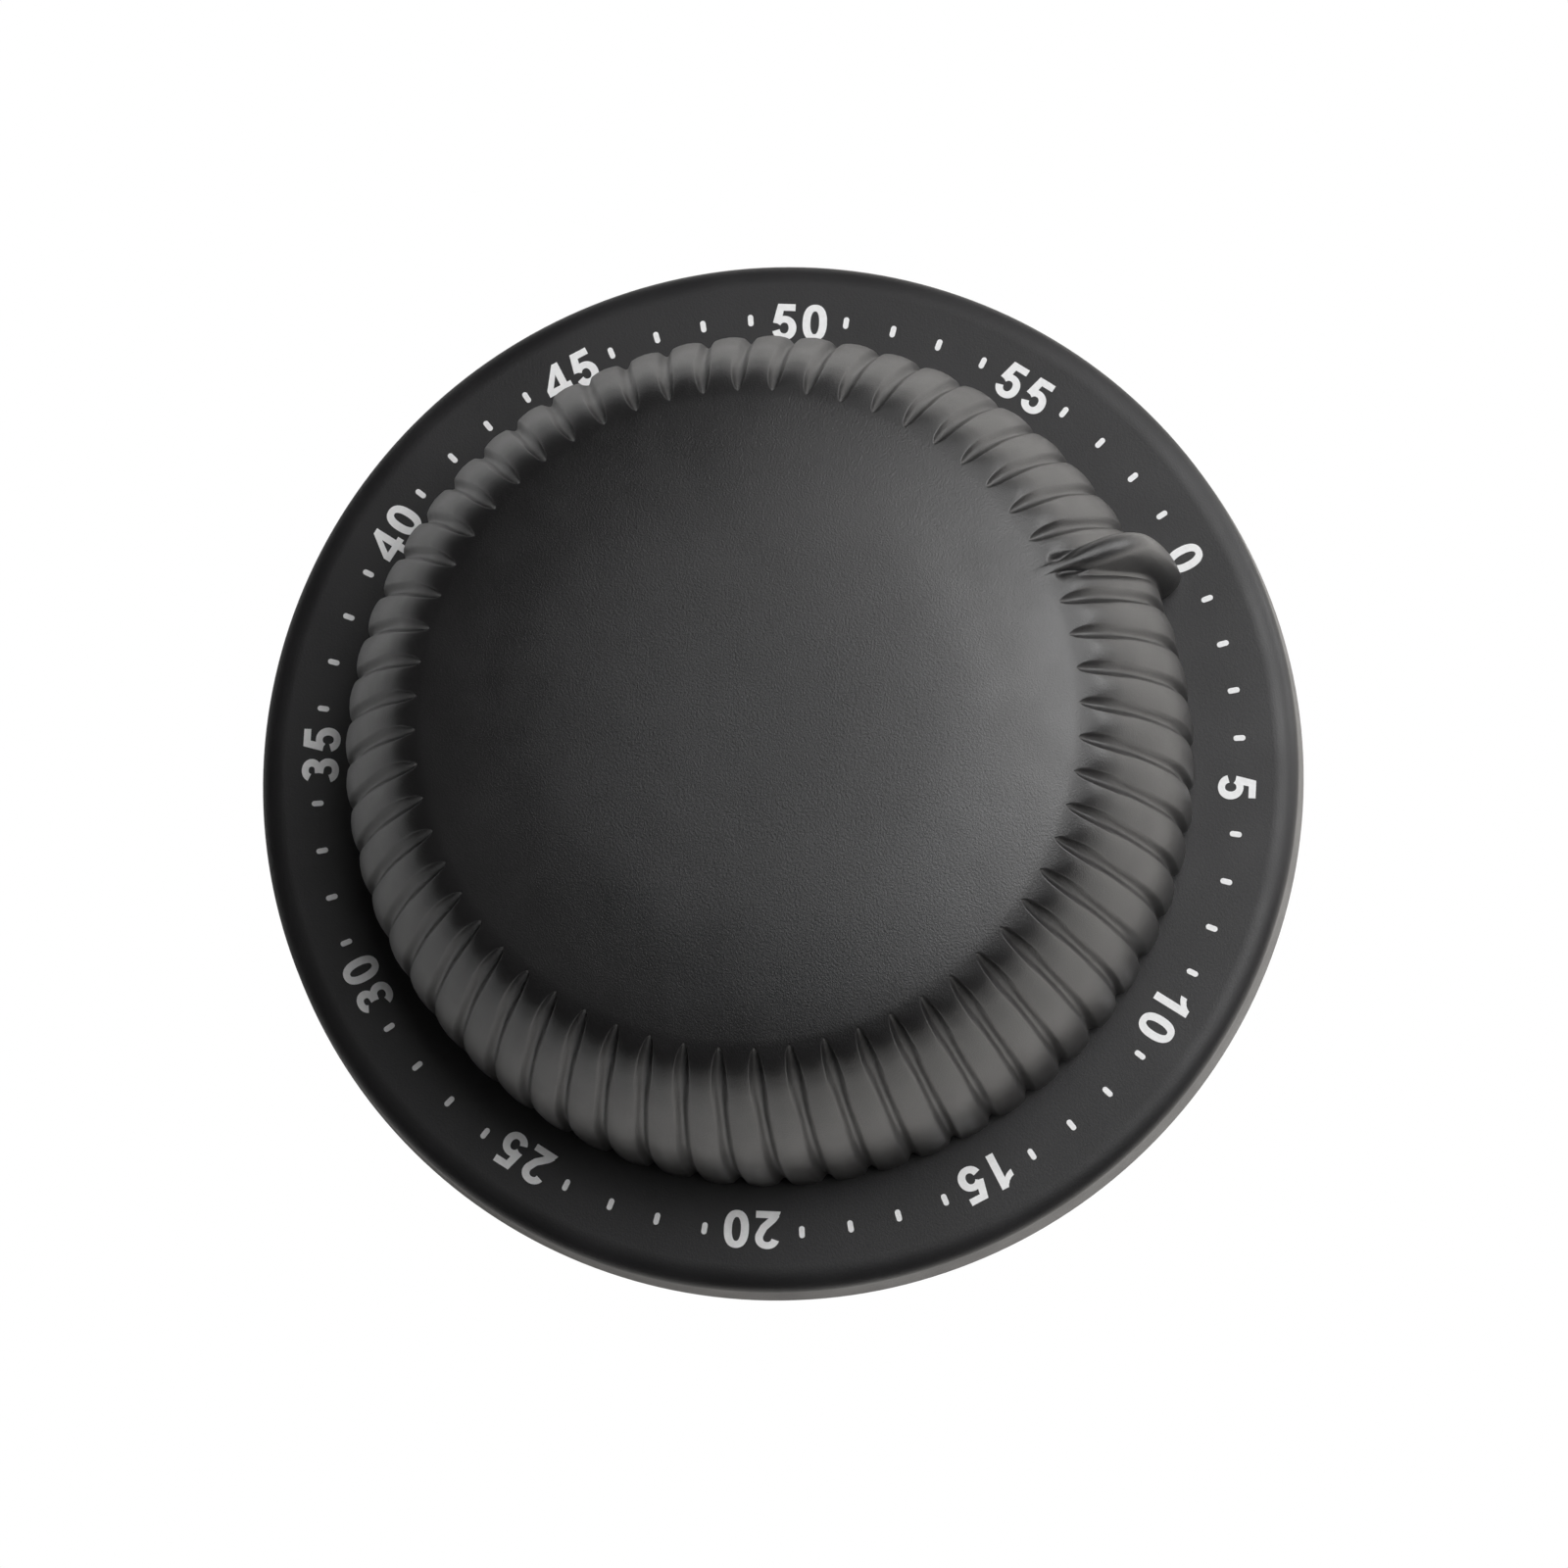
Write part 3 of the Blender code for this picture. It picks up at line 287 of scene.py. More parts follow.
def add_piece(name, mesh, material, body, slot, *replaced, sharp_deg=35.0):
    """A piece of the model: it rides on a body and may stand in for CAD nodes."""
    obj = new_object(name, mesh)
    mesh.materials.append(material)
    mesh.shade_smooth()
    mesh.set_sharp_from_angle(angle=math.radians(sharp_deg))
    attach(obj, body)
    if replaced:
        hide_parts(*replaced)


def grid_mesh(name, rows):
    """A closed mesh from rows of points, each a full turn. A row of one point closes an end."""
    points, starts = [], []
    for row in rows:
        starts.append(len(points))
        points.extend(row)
    faces = []
    for i in range(len(rows) - 1):
        a, b = starts[i], starts[i + 1]
        count = max(len(rows[i]), len(rows[i + 1]))
        for j in range(count):
            k = (j + 1) % count
            if len(rows[i]) == 1:
                faces.append((a, b + j, b + k))
            elif len(rows[i + 1]) == 1:
                faces.append((a + j, b, a + k))
            else:
                faces.append((a + j, b + j, b + k, a + k))
    mesh = bpy.data.meshes.new(name)
    mesh.from_pydata([tuple(p) for p in points], [], faces)
    mesh.validate()
    return mesh


def turned_mesh(name, profile, steps, at=(0.0, 0.0)):
    """A solid of revolution from (radius, z) points, down the outside and back up the inside.
    A profile that starts and ends off the axis is closed into a ring."""
    closed = profile if profile[0][0] == 0.0 else profile + profile[:1]
    rows = []
    for radius, z in closed:
        count = 1 if radius == 0.0 else steps
        ring = [polar(radius, 2 * math.pi * i / steps) for i in range(count)]
        rows.append([(at[0] + x, at[1] + y, z) for x, y in ring])
    mesh = grid_mesh(name, rows)
    weld(mesh)
    return mesh


def weld(mesh):
    """Merge points that coincide, and turn all faces outwards."""
    work = bmesh.new()
    work.from_mesh(mesh)
    bmesh.ops.remove_doubles(work, verts=work.verts, dist=WELD_DISTANCE)
    bmesh.ops.recalc_face_normals(work, faces=work.faces)
    work.to_mesh(mesh)
    work.free()


def arc(centre, radius, start_deg, end_deg, steps=6):
    """(radius, z) points along an arc. 0 degrees points outwards and 90 up."""
    points = []
    for i in range(steps + 1):
        x, z = polar(radius, math.radians(start_deg + (end_deg - start_deg) * i / steps))
        points.append((centre[0] + x, centre[1] + z))
    return points


def cut_or_join(mesh, operation, tools):
    """A mesh with other closed meshes cut away or joined on, one after another."""
    for tool in tools:
        objects = [new_object("boolean", m) for m in (mesh, tool)]
        modifier = objects[0].modifiers.new("boolean", "BOOLEAN")
        modifier.operation = operation
        modifier.object = objects[1]
        graph = bpy.context.evaluated_depsgraph_get()
        mesh = bpy.data.meshes.new_from_object(objects[0].evaluated_get(graph))
        for obj in objects:
            bpy.data.objects.remove(obj)
    return mesh


# ---- Knob ---------------------------------------------------------------------------------------

FLUTES = 60
FLUTE_PITCH = 2 * math.pi / FLUTES
FLUTE_HALF_WIDTH = 0.66 * MM
FLUTE_DEPTH = 0.52 * MM
FLUTE_TIP_R = 24.3 * MM                 # where the flutes start on the shoulder
FLUTE_TIP_LENGTH = 2.0 * MM             # a flute opens over this, like the end of an ellipse
FLUTE_TIP_SHARE = 0.74                  # of its half width that it opens to
FLUTE_TIP_POWER = 1.4                   # its depth follows this power of its opening
FLUTE_LEAST = 0.15                      # of its width, so that its columns stay apart
FLUTE_WIDENS = 5.0 * MM                 # it has its whole half width this far along
FLUTE_CRISP = 1.5 * MM                  # its edges are crisp this far along
FLUTE_SOFTENS = 6.0 * MM                # and then grow soft over this length
RIB_CROWN = 0.13 * MM                   # how far a rib bulges between its flutes
RIB_RISES = 2.5 * MM                    # the bulge has its full height this far along
WIDEST = 0.8                            # of the pitch that a flute or the pointer can take
KNOB_SHAPE = (                          # radius and height above the dial, in mm
    (0.0, 25.4), (10.0, 25.26), (16.0, 24.9), (20.0, 24.36), (22.5, 23.88), (24.3, 23.38),
    (25.6, 22.6), (26.8, 21.3), (27.9, 19.5), (29.0, 17.25), (30.1, 14.6), (30.95, 12.0),
    (31.5, 8.8), (31.7, 5.5), (31.72, 3.0), (31.65, 0.85), (31.4, 0.5),
)
POINTER_CREST = (                       # the top of its keel, likewise
    (23.5, 23.66), (24.7, 23.38), (26.2, 23.0), (27.7, 22.54), (29.2, 21.98), (30.3, 21.2),
    (31.3, 19.9), (32.1, 17.6), (32.8, 14.2), (33.4, 10.0), (33.85, 5.5), (34.05, 2.5),
    (34.1, 0.85), (33.9, 0.5),
)
POINTER_TIP_HALF = 0.36 * MM            # half width where it leaves the shoulder
POINTER_NOSE_HALF = 1.25 * MM
POINTER_WIDENS_R = 26.6 * MM            # it starts to widen here
POINTER_WIDENS = 6.4 * MM               # and is at its widest this much farther out
POINTER_ROUND = 0.8                     # power that blunts its section, 1 being an ellipse
POINTER_FILLET = 0.28 * MM
POINTER_FILLET_SHARE = 0.3              # of its rise, where that is less
POINTER_FILLET_SOFT = 0.3               # of the fillet, over which it meets the keel
POINTER_FILLET_REACH = 0.2 * MM
RECESS_HALF = 0.95 * MM                 # half width of the hollow that the pointer rises from
RECESS_DEPTH = 1.15 * FLUTE_DEPTH
RECESS_LEAD = 0.35 * MM                 # it starts this far before the flutes
RECESS_DEEPENS = 1.6 * MM
RECESS_FLAT = 2.5 * MM                  # it keeps its depth this far along
RECESS_FADES = 6.0 * MM                 # and then dies out over this length

CURVE_STEPS = 60                                # points between two given ones
IN_FLUTE = (0.2, 0.4, 0.6, 0.78, 0.92, 1.0)     # columns across half a flute
ON_RIB = (0.1, 0.42, 1.0)                       # from the flute's edge to the middle of the rib
IN_FIN = tuple(i / 12 for i in range(1, 13))
BESIDE_FIN = (0.08, 0.2, 0.36, 0.55, 0.78, 1.0)


def smooth_curve(points):
    """Fine points along a curve through the given ones, with their arc lengths."""
    points = np.array(points, float)
    knots = np.r_[0.0, np.cumsum(np.linalg.norm(np.diff(points, axis=0), axis=1) ** 0.5)]
    tangents = np.gradient(points, knots, axis=0)
    if points[0][0] == 0.0:
        tangents[0] = (np.linalg.norm(tangents[0]), 0.0)
    fine = []
    for i in range(len(points) - 1):
        span = knots[i + 1] - knots[i]
        for t in np.linspace(0.0, 1.0, CURVE_STEPS, endpoint=False):
            here = (2 * t**3 - 3 * t**2 + 1) * points[i] + (3 * t**2 - 2 * t**3) * points[i + 1]
            bend = (t**3 - 2 * t**2 + t) * tangents[i] + (t**3 - t**2) * tangents[i + 1]
            fine.append(here + span * bend)
    fine.append(points[-1])
    fine = np.array(fine)
    length = np.r_[0.0, np.cumsum(np.linalg.norm(np.diff(fine, axis=0), axis=1))]
    return fine, length


def above_dial(places):
    """(radius, z) points in metres."""
    return [(r * MM, DIAL + h * MM) for r, h in places]


class Shoulder:
    """The knob's outline by arc length from the crown."""

    def __init__(self):
        self.points, self.length = smooth_curve(above_dial(KNOB_SHAPE))
        self.total = self.length[-1]
        self.crest = smooth_curve(above_dial(POINTER_CREST))[0][::-1]

    def at(self, t):
        return tuple(float(np.interp(t, self.length, self.points[:, i])) for i in (0, 1))

    def normal(self, t):
        step = 0.15 * MM
        after, before = self.at(min(t + step, self.total)), self.at(max(t - step, 0.0))
        run, rise = after[0] - before[0], after[1] - before[1]
        length = math.hypot(run, rise)
        return (-rise / length, run / length)

    def where(self, radius):
        return float(np.interp(radius, self.points[:, 0], self.length))

    def crest_radius(self, z):
        return float(np.interp(z, self.crest[:, 1], self.crest[:, 0], right=0.0))


def flute_half(along):
    opened = smoothstep(along / FLUTE_WIDENS)
    return FLUTE_HALF_WIDTH * (FLUTE_TIP_SHARE + (1.0 - FLUTE_TIP_SHARE) * opened)


def opening(along):
    """Share of its full width that a flute has opened to."""
    shut = min(1.0, max(0.0, 1.0 - along / FLUTE_TIP_LENGTH))
    return math.sqrt(1.0 - shut**2)


def flute_cut(off, along):
    """Depth of a flute at a share of its half width: crisp at its tip, softer lower down."""
    off = min(1.0, abs(off))
    soft = smoothstep((along - FLUTE_CRISP) / FLUTE_SOFTENS)
    section = (1.0 - soft) * (1.0 - off**2) + soft * (1.0 - smoothstep(off))
    return FLUTE_DEPTH * opening(along) ** FLUTE_TIP_POWER * section


def knob_columns():
    """For each column round the knob: its flute, its zone and its place across that zone."""
    columns = []
    for flute in range(FLUTES):
        inner, outer = ("fin", "beside") if flute == 0 else ("flute", "rib")
        across, beyond = (IN_FIN, BESIDE_FIN) if flute == 0 else (IN_FLUTE, ON_RIB)
        columns += [(flute, outer, -share) for share in reversed(beyond[:-1])]
        columns += [(flute, inner, -share) for share in reversed(across)]
        columns.append((flute, inner, 0.0))
        columns += [(flute, inner, share) for share in across]
        columns += [(flute, outer, share) for share in beyond]
    return columns


def row_places(tip, total):
    """Arc lengths of the rows, which are close together round the tips of the flutes."""
    marks = (0.0, 0.8 * tip, tip - 0.6 * MM, tip + 1.4 * MM, tip + 5.4 * MM, total)
    spans = zip(marks, marks[1:], (12, 6, 18, 22, 24))
    rows = [np.linspace(start, end, count, endpoint=False) for start, end, count in spans]
    return [*np.concatenate(rows), total]


def knob_outer_rows(shoulder):
    """The crown, shoulder and skirt, with the pointer in place of one flute."""
    tip = shoulder.where(FLUTE_TIP_R)
    crown, *places = row_places(tip, shoulder.total)
    rows = [[(0.0, *shoulder.at(crown))]]
    for t in places:
        r, z = shoulder.at(t)
        normal = shoulder.normal(t)
        half_pitch = r * FLUTE_PITCH / 2
        along = t - tip
        half = min(flute_half(along) * max(FLUTE_LEAST, opening(along)), WIDEST * half_pitch)
        ribbed = smoothstep(along / RIB_RISES)
        fin = Fin(r, z, normal, along, half_pitch, shoulder.crest_radius(z))
        row = []
        for flute, zone, share in knob_columns():
            if flute == 0:
                aside, radius, height = fin.point(zone, share)
            else:
                aside, off = share * half, 0.0
                if zone == "rib":
                    aside = math.copysign(half + (half_pitch - half) * abs(share), share)
                    off = RIB_CROWN * ribbed * (1.0 - (1.0 - abs(share)) ** 2)
                off -= flute_cut(aside / half, along)
                radius, height = r + normal[0] * off, z + normal[1] * off
            angle = math.pi / 2 - POINTER_PAST + flute * FLUTE_PITCH + aside / radius
            row.append((*polar(radius, angle), height))
        rows.append(row)
    return rows


def smooth_max(a, b, soft):
    """The larger of two values, with the corner between them rounded."""
    return 0.5 * (a + b + math.hypot(a - b, soft))


class Fin:
    """One row of the pointer: a round keel in a hollow that dies out towards the skirt."""

    def __init__(self, r, z, normal, along, half_pitch, crest):
        self.r, self.z, self.normal = r, z, normal
        self.along, self.half_pitch = along, half_pitch
        self.rise = max(0.0, crest - r)
        widening = smoothstep((max(crest, r) - POINTER_WIDENS_R) / POINTER_WIDENS)
        half = POINTER_TIP_HALF + (POINTER_NOSE_HALF - POINTER_TIP_HALF) * widening
        self.half = min(half, WIDEST * half_pitch)
        self.fillet = min(POINTER_FILLET, POINTER_FILLET_SHARE * self.rise)

    def point(self, zone, share):
        """Distance aside, radius and height of one point, on the keel or beside it."""
        side = abs(share)
        soft = POINTER_FILLET_SOFT * self.fillet
        if zone == "fin":
            turn = side * math.pi / 2
            aside = self.half * math.sin(turn) ** POINTER_ROUND
            keel = self.rise * max(0.0, math.cos(turn)) ** POINTER_ROUND
            proud = smooth_max(keel, self.fillet, soft)
        else:
            beyond = (self.half_pitch - self.half) * side
            aside = self.half + beyond
            fade = math.exp(-beyond / POINTER_FILLET_REACH)
            proud = smooth_max(0.0, self.fillet, soft) * fade * (1.0 - side)
        cut = self.hollow(aside)
        radius = self.r + proud - self.normal[0] * cut
        return math.copysign(aside, share), radius, self.z - self.normal[1] * cut

    def hollow(self, aside):
        """Depth of the hollow at a distance aside."""
        before = max(0.0, RECESS_HALF - self.along)
        off = min(1.0, math.hypot(aside, before) / RECESS_HALF)
        ramp = smoothstep((self.along + RECESS_LEAD) / RECESS_DEEPENS)
        fade = 1.0 - smoothstep((self.along - RECESS_FLAT) / RECESS_FADES)
        return RECESS_DEPTH * ramp * fade * (1.0 - off**3)


def knob_inner_rows(shoulder, angles):
    """The skirt's rim, the inside of the wall, and the hub with the arbor's bore."""
    clear = 1.2 * MM                    # the wall's inside starts this far above the rim
    room = 0.4 * MM                     # and ends this far from the hub
    inside = []
    for t in np.linspace(shoulder.total - clear, 0.0, 20):
        r, z = shoulder.at(t)
        n = shoulder.normal(t)
        inner = (r - n[0] * KNOB_WALL, z - n[1] * KNOB_WALL)
        if inner[0] > HUB_R + room:
            inside.append(inner)
    roof = inside[-1][1]
    bore = ARBOR_R + GAP
    bore_top = ARBOR_TOP + GAP
    rim_r = KNOB_R - KNOB_WALL
    edge = 0.3 * MM
    profile = [
        (rim_r + edge, KNOB_FOOT),
        (rim_r, KNOB_FOOT + edge),
        *inside,
        (HUB_R, roof),
        (HUB_R, HUB_FOOT + edge),
        (HUB_R - edge, HUB_FOOT),
        (bore + edge, HUB_FOOT),
        (bore, HUB_FOOT + edge),
        (bore, bore_top),
    ]
    rows = [[(*polar(radius, angle), z) for angle in angles] for radius, z in profile]
    return rows + [[(0.0, 0.0, bore_top)]]


def make_knob():
    shoulder = Shoulder()
    outer = knob_outer_rows(shoulder)
    angles = [math.atan2(y, x) for x, y, _ in outer[-1]]
    mesh = grid_mesh("knob_shell", outer + knob_inner_rows(shoulder, angles))
    body, slot = "winding_knob", "black_plastic"
    add_piece("knob_shell", mesh, knob_black, body, slot, "knob", sharp_deg=65.0)


# ---- Case ---------------------------------------------------------------------------------------

RIM_STEPS = 240                         # points round a large circle
RIM_ROUND = 1.15 * MM                   # depth of the dial's rounded edge
RIM_EASE = 1.9 * MM                     # and its width
TURRET_CORNER = 1.2 * MM
CASE_FILLET = 0.4 * MM
POST_R = 3.0 * MM
POST_HOLE_R = 1.6 * MM


def make_case():
    """Dial, drafted rim wall, turret, and the posts that take the cover's screws."""
    inner_r, wall_r = PLATE_R + GAP, CASE_R - CASE_WALL
    turret_r = inner_r + CASE_WALL
    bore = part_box("threaded_bush")[1].x + GAP
    ceiling = DIAL - CASE_WALL
    edge, edge_up = 0.2 * MM, 0.25 * MM
    round_r = CASE_R - RIM_DRAFT - RIM_EASE
    rounding = [
        (round_r + RIM_EASE * out, DIAL - RIM_ROUND * (1.0 - up))
        for out, up in arc((0.0, 0.0), 1.0, 90.0, 0.0, 10)
    ]
    profile = [
        (bore, TURRET_TOP),
        *arc((turret_r - TURRET_CORNER, TURRET_TOP - TURRET_CORNER), TURRET_CORNER, 90.0, 0.0),
        (turret_r, DIAL + CASE_FILLET),
        (turret_r + CASE_FILLET, DIAL),
        ((turret_r + round_r) / 2, DIAL),
        *rounding,
        (CASE_R, CASE_FOOT + edge_up),
        (CASE_R - edge, CASE_FOOT),
        (wall_r, CASE_FOOT),
        (wall_r, ceiling - CASE_FILLET),
        (wall_r - CASE_FILLET, ceiling),
        (inner_r, ceiling),
        (inner_r, CEILING),
        (bore, CEILING),
    ]
    mesh = turned_mesh("front_case_shell", profile, RIM_STEPS)
    add_piece("front_case_shell", mesh, case_black, "case", "black_plastic", "front_case")
    top = ceiling + 0.2 * MM            # a little way into the ceiling
    for number in NUMBERS:
        post = [
            (POST_HOLE_R, top),
            (POST_R, top),
            (POST_R, CASE_FOOT + edge),
            (POST_R - edge, CASE_FOOT),
            (POST_HOLE_R, CASE_FOOT),
        ]
        name = f"screw_post_{number}"
        mesh = turned_mesh(name, post, 32, centre_of(f"cover_screw_{number}"))
        add_piece(name, mesh, case_black, "case", "black_plastic")


# ---- Print --------------------------------------------------------------------------------------

MARK_R = 35.23 * MM                     # to the middle of a minute mark
DIGIT_R = 34.99 * MM                    # and to the middle of a digit
DIGIT_HEIGHT = 2.86 * MM
DIGIT_STEP = 2.34 * MM                  # from one digit to the next
DIGIT_SHIFT = 0.1 * MM                  # of a number, clockwise
DIGIT_HALF_WIDTH = 0.94 * MM
STEM = 0.60 * MM                        # stroke that runs up
ARM = 0.53 * MM                         # stroke that runs across
INK = 0.03 * MM                         # thickness of the print
INK_LIFT = 0.2 * INK                    # its middle is this far above the dial
MARK_LENGTH = 0.92 * MM
MARK_WIDTH = 0.42 * MM
MINUTE_DEG = 6.0


def slab(outlines):
    """The print's thin flat mesh from closed outlines, the first a rim and the others holes."""
    curve = bpy.data.curves.new("outline", "CURVE")
    curve.dimensions = "2D"
    curve.fill_mode = "BOTH"
    curve.extrude = INK / 2
    for outline in outlines:
        spline = curve.splines.new("POLY")
        spline.points.add(len(outline) - 1)
        spline.use_cyclic_u = True
        for point, (x, y) in zip(spline.points, outline):
            point.co = (x, y, 0.0, 1.0)
    helper = new_object("outline", curve)
    graph = bpy.context.evaluated_depsgraph_get()
    mesh = bpy.data.meshes.new_from_object(helper.evaluated_get(graph))
    bpy.data.objects.remove(helper)
    weld(mesh)
    return mesh


def oval(centre, a, b, start_deg, end_deg, power=2.3, steps=28):
    """Points round an oval that is squarer than an ellipse."""
    points = []
    for i in range(steps + 1):
        angle = math.radians(start_deg + (end_deg - start_deg) * i / steps)
        c, s = math.cos(angle), math.sin(angle)
        x = math.copysign(abs(c) ** (2 / power), c)
        y = math.copysign(abs(s) ** (2 / power), s)
        points.append((centre[0] + a * x, centre[1] + b * y))
    return points


def stroke(points, closed=False):
    """The outline of a pen stroke along these points, wider where it runs up than across."""
    count = len(points)
    left, right = [], []
    for i, (x, y) in enumerate(points):
        before = points[i - 1] if closed or i else points[i]
        after = points[(i + 1) % count] if closed or i < count - 1 else points[i]
        run, rise = after[0] - before[0], after[1] - before[1]
        length = math.hypot(run, rise)
        run, rise = run / length, rise / length
        half = 0.5 * math.hypot(STEM * rise, ARM * run)
        left.append((x - rise * half, y + run * half))
        right.append((x + rise * half, y - run * half))
    if closed:
        return [left, right]
    return [left + right[::-1]]


def in_mm(points):
    return [(x * MM, y * MM) for x, y in points]


def glyph_parts(digit):
    """The flat shapes that make up a digit, centred on x = 0 with its foot at y = 0."""
    h, w = DIGIT_HEIGHT, DIGIT_HALF_WIDTH
    a, lift = w - STEM / 2, ARM / 2
    if digit == "0":
        ring = oval((0.0, h / 2), a, h / 2 - lift, 0.0, 360.0, 2.35, 56)[:-1]
        return [stroke(ring, closed=True)]
    if digit == "1":
        x0, x1 = -0.02 * MM, 0.58 * MM
        flag = in_mm([(-0.70, 2.20), (-0.45, 2.29), (-0.22, 2.46), (-0.04, 2.68), (0.04, 2.86)])
        under = in_mm([(-0.02, 2.08), (-0.20, 1.92), (-0.42, 1.79), (-0.70, 1.69)])
        return [[flag + [(x1, h), (x1, 0.0), (x0, 0.0)] + under]]
    if digit == "2":
        middle, end = (-0.02 * MM, 2.02 * MM), w - 0.03 * MM
        bowl = oval(middle, a - 0.02 * MM, 0.84 * MM - lift, 168.0, -22.0, 2.1, 22)
        tail = in_mm([(0.28, 1.24), (-0.12, 0.86), (-0.42, 0.56), (-0.62, 0.22)])
        foot = [(-w, 0.0), (end, 0.0), (end, ARM), (-w + 0.25 * MM, ARM)]
        foot.append((-w + 0.05 * MM, 0.2 * MM))
        return [stroke(bowl + tail), [foot]]
    if digit == "3":
        upper = oval((-0.06 * MM, 2.10 * MM), 0.58 * MM, 0.5 * MM, 165.0, -90.0, 2.1, 20)
        lower = oval((-0.04 * MM, 0.85 * MM), 0.64 * MM, 0.59 * MM, 90.0, -165.0, 2.15, 24)
        upper.append((-0.26 * MM, 1.58 * MM))
        lower.insert(0, (-0.26 * MM, 1.47 * MM))
        return [stroke(upper), stroke(lower)]
    if digit == "4":
        x0, x1 = 0.14 * MM, 0.70 * MM   # stem
        y0, y1 = 0.58 * MM, 1.10 * MM   # crossbar
        left, right = -1.0 * MM, 1.0 * MM
        rim = [
            (x0, 0.0), (x1, 0.0), (x1, y0), (right, y0), (right, y1), (x1, y1), (x1, h),
            (0.22 * MM, h), (left, 1.12 * MM), (left, y0), (x0, y0),
        ]
        hole = [(x0, y1), (x0, 2.02 * MM), (-0.46 * MM, y1)]
        return [[rim, hole]]
    flag_end, under = 0.80 * MM, h - 0.54 * MM
    bar = [(-0.55 * MM, h), (flag_end, h), (flag_end, under), (-0.10 * MM, under)]
    bar += in_mm([(-0.20, 1.78), (-0.38, 1.28), (-0.88, 1.36)])
    bowl = oval((0.0, 0.96 * MM), a, 0.96 * MM - lift, 150.0, -165.0, 2.1, 30)
    return [[bar], stroke(bowl)]


def make_glyph(digit):
    """One digit as a single closed mesh."""
    first, *others = [slab(part) for part in glyph_parts(digit)]
    return cut_or_join(first, "UNION", others)


def joined(name, placed):
    """One mesh from (mesh, matrix) pairs."""
    points, faces = [], []
    for mesh, matrix in placed:
        start = len(points)
        points += [tuple(matrix @ v.co) for v in mesh.vertices]
        faces += [tuple(start + i for i in polygon.vertices) for polygon in mesh.polygons]
    result = bpy.data.meshes.new(name)
    result.from_pydata(points, [], faces)
    return result


def print_place(minute, radius, shift=0.0):
    """Where a mark for this minute goes: its own Y points outwards and its X clockwise."""
    turn = math.radians(-MINUTE_DEG * minute)
    lift = Matrix.Translation((shift, radius, DIAL + INK_LIFT))
    return Matrix.Rotation(turn, 4, "Z") @ lift


def make_print():
    glyphs = {digit: make_glyph(digit) for digit in "012345"}
    drop = Matrix.Translation((0.0, -DIGIT_HEIGHT / 2, 0.0))
    for minute in range(0, 60, 5):
        text = str(minute)
        placed = []
        for i, digit in enumerate(text):
            shift = DIGIT_SHIFT + DIGIT_STEP * (i - (len(text) - 1) / 2)
            placed.append((glyphs[digit], print_place(minute, DIGIT_R, shift) @ drop))
        name = f"numeral_{minute:02d}"
        add_piece(name, joined(name, placed), ink, "case", "black_plastic")
    end = MARK_WIDTH / 2
    reach = MARK_LENGTH / 2 - end
    outline = arc((0.0, reach), end, 0.0, 180.0, 8) + arc((0.0, -reach), end, 180.0, 360.0, 8)
    mark = slab([outline])
    placed = [(mark, print_place(minute, MARK_R)) for minute in range(60) if minute % 5]
    add_piece("minute_marks", joined("minute_marks", placed), ink, "case", "black_plastic")


# ---- Rear ---------------------------------------------------------------------------------------

WELL_WALL = 1.2 * MM
SCREW_SEAT = 1.1 * MM                   # depth of a screw's counterbore
COVER_ROUND = 0.5 * MM
RING_ROUND = 0.3 * MM
GROOVES = (0.66, 0.34)                  # where the ring's grooves are, as shares of its width
GROOVE_HALF = 0.22 * MM
GROOVE_DEPTH = 0.2 * MM
MAGNET_CHAMFER = 0.25 * MM
THREAD_PITCH = 0.7 * MM
THREAD_DEPTH = 0.22 * MM
HEAD_ROUND = 0.35 * MM
SLOT_DEPTH = 0.45 * MM                  # of the cross in a screw's head
SLOT_HALF = 0.3 * MM
SLOT_REACH = 1.45 * MM


def peg(radius, top, foot, at, steps=64, chamfer=0.0):
    """A plain cylinder, or one with its lower edge cut back."""
    edge = [(radius, foot + chamfer), (radius - chamfer, foot)] if chamfer else [(radius, foot)]
    return turned_mesh("peg", [(0.0, top), (radius, top), *edge, (0.0, foot)], steps, at)


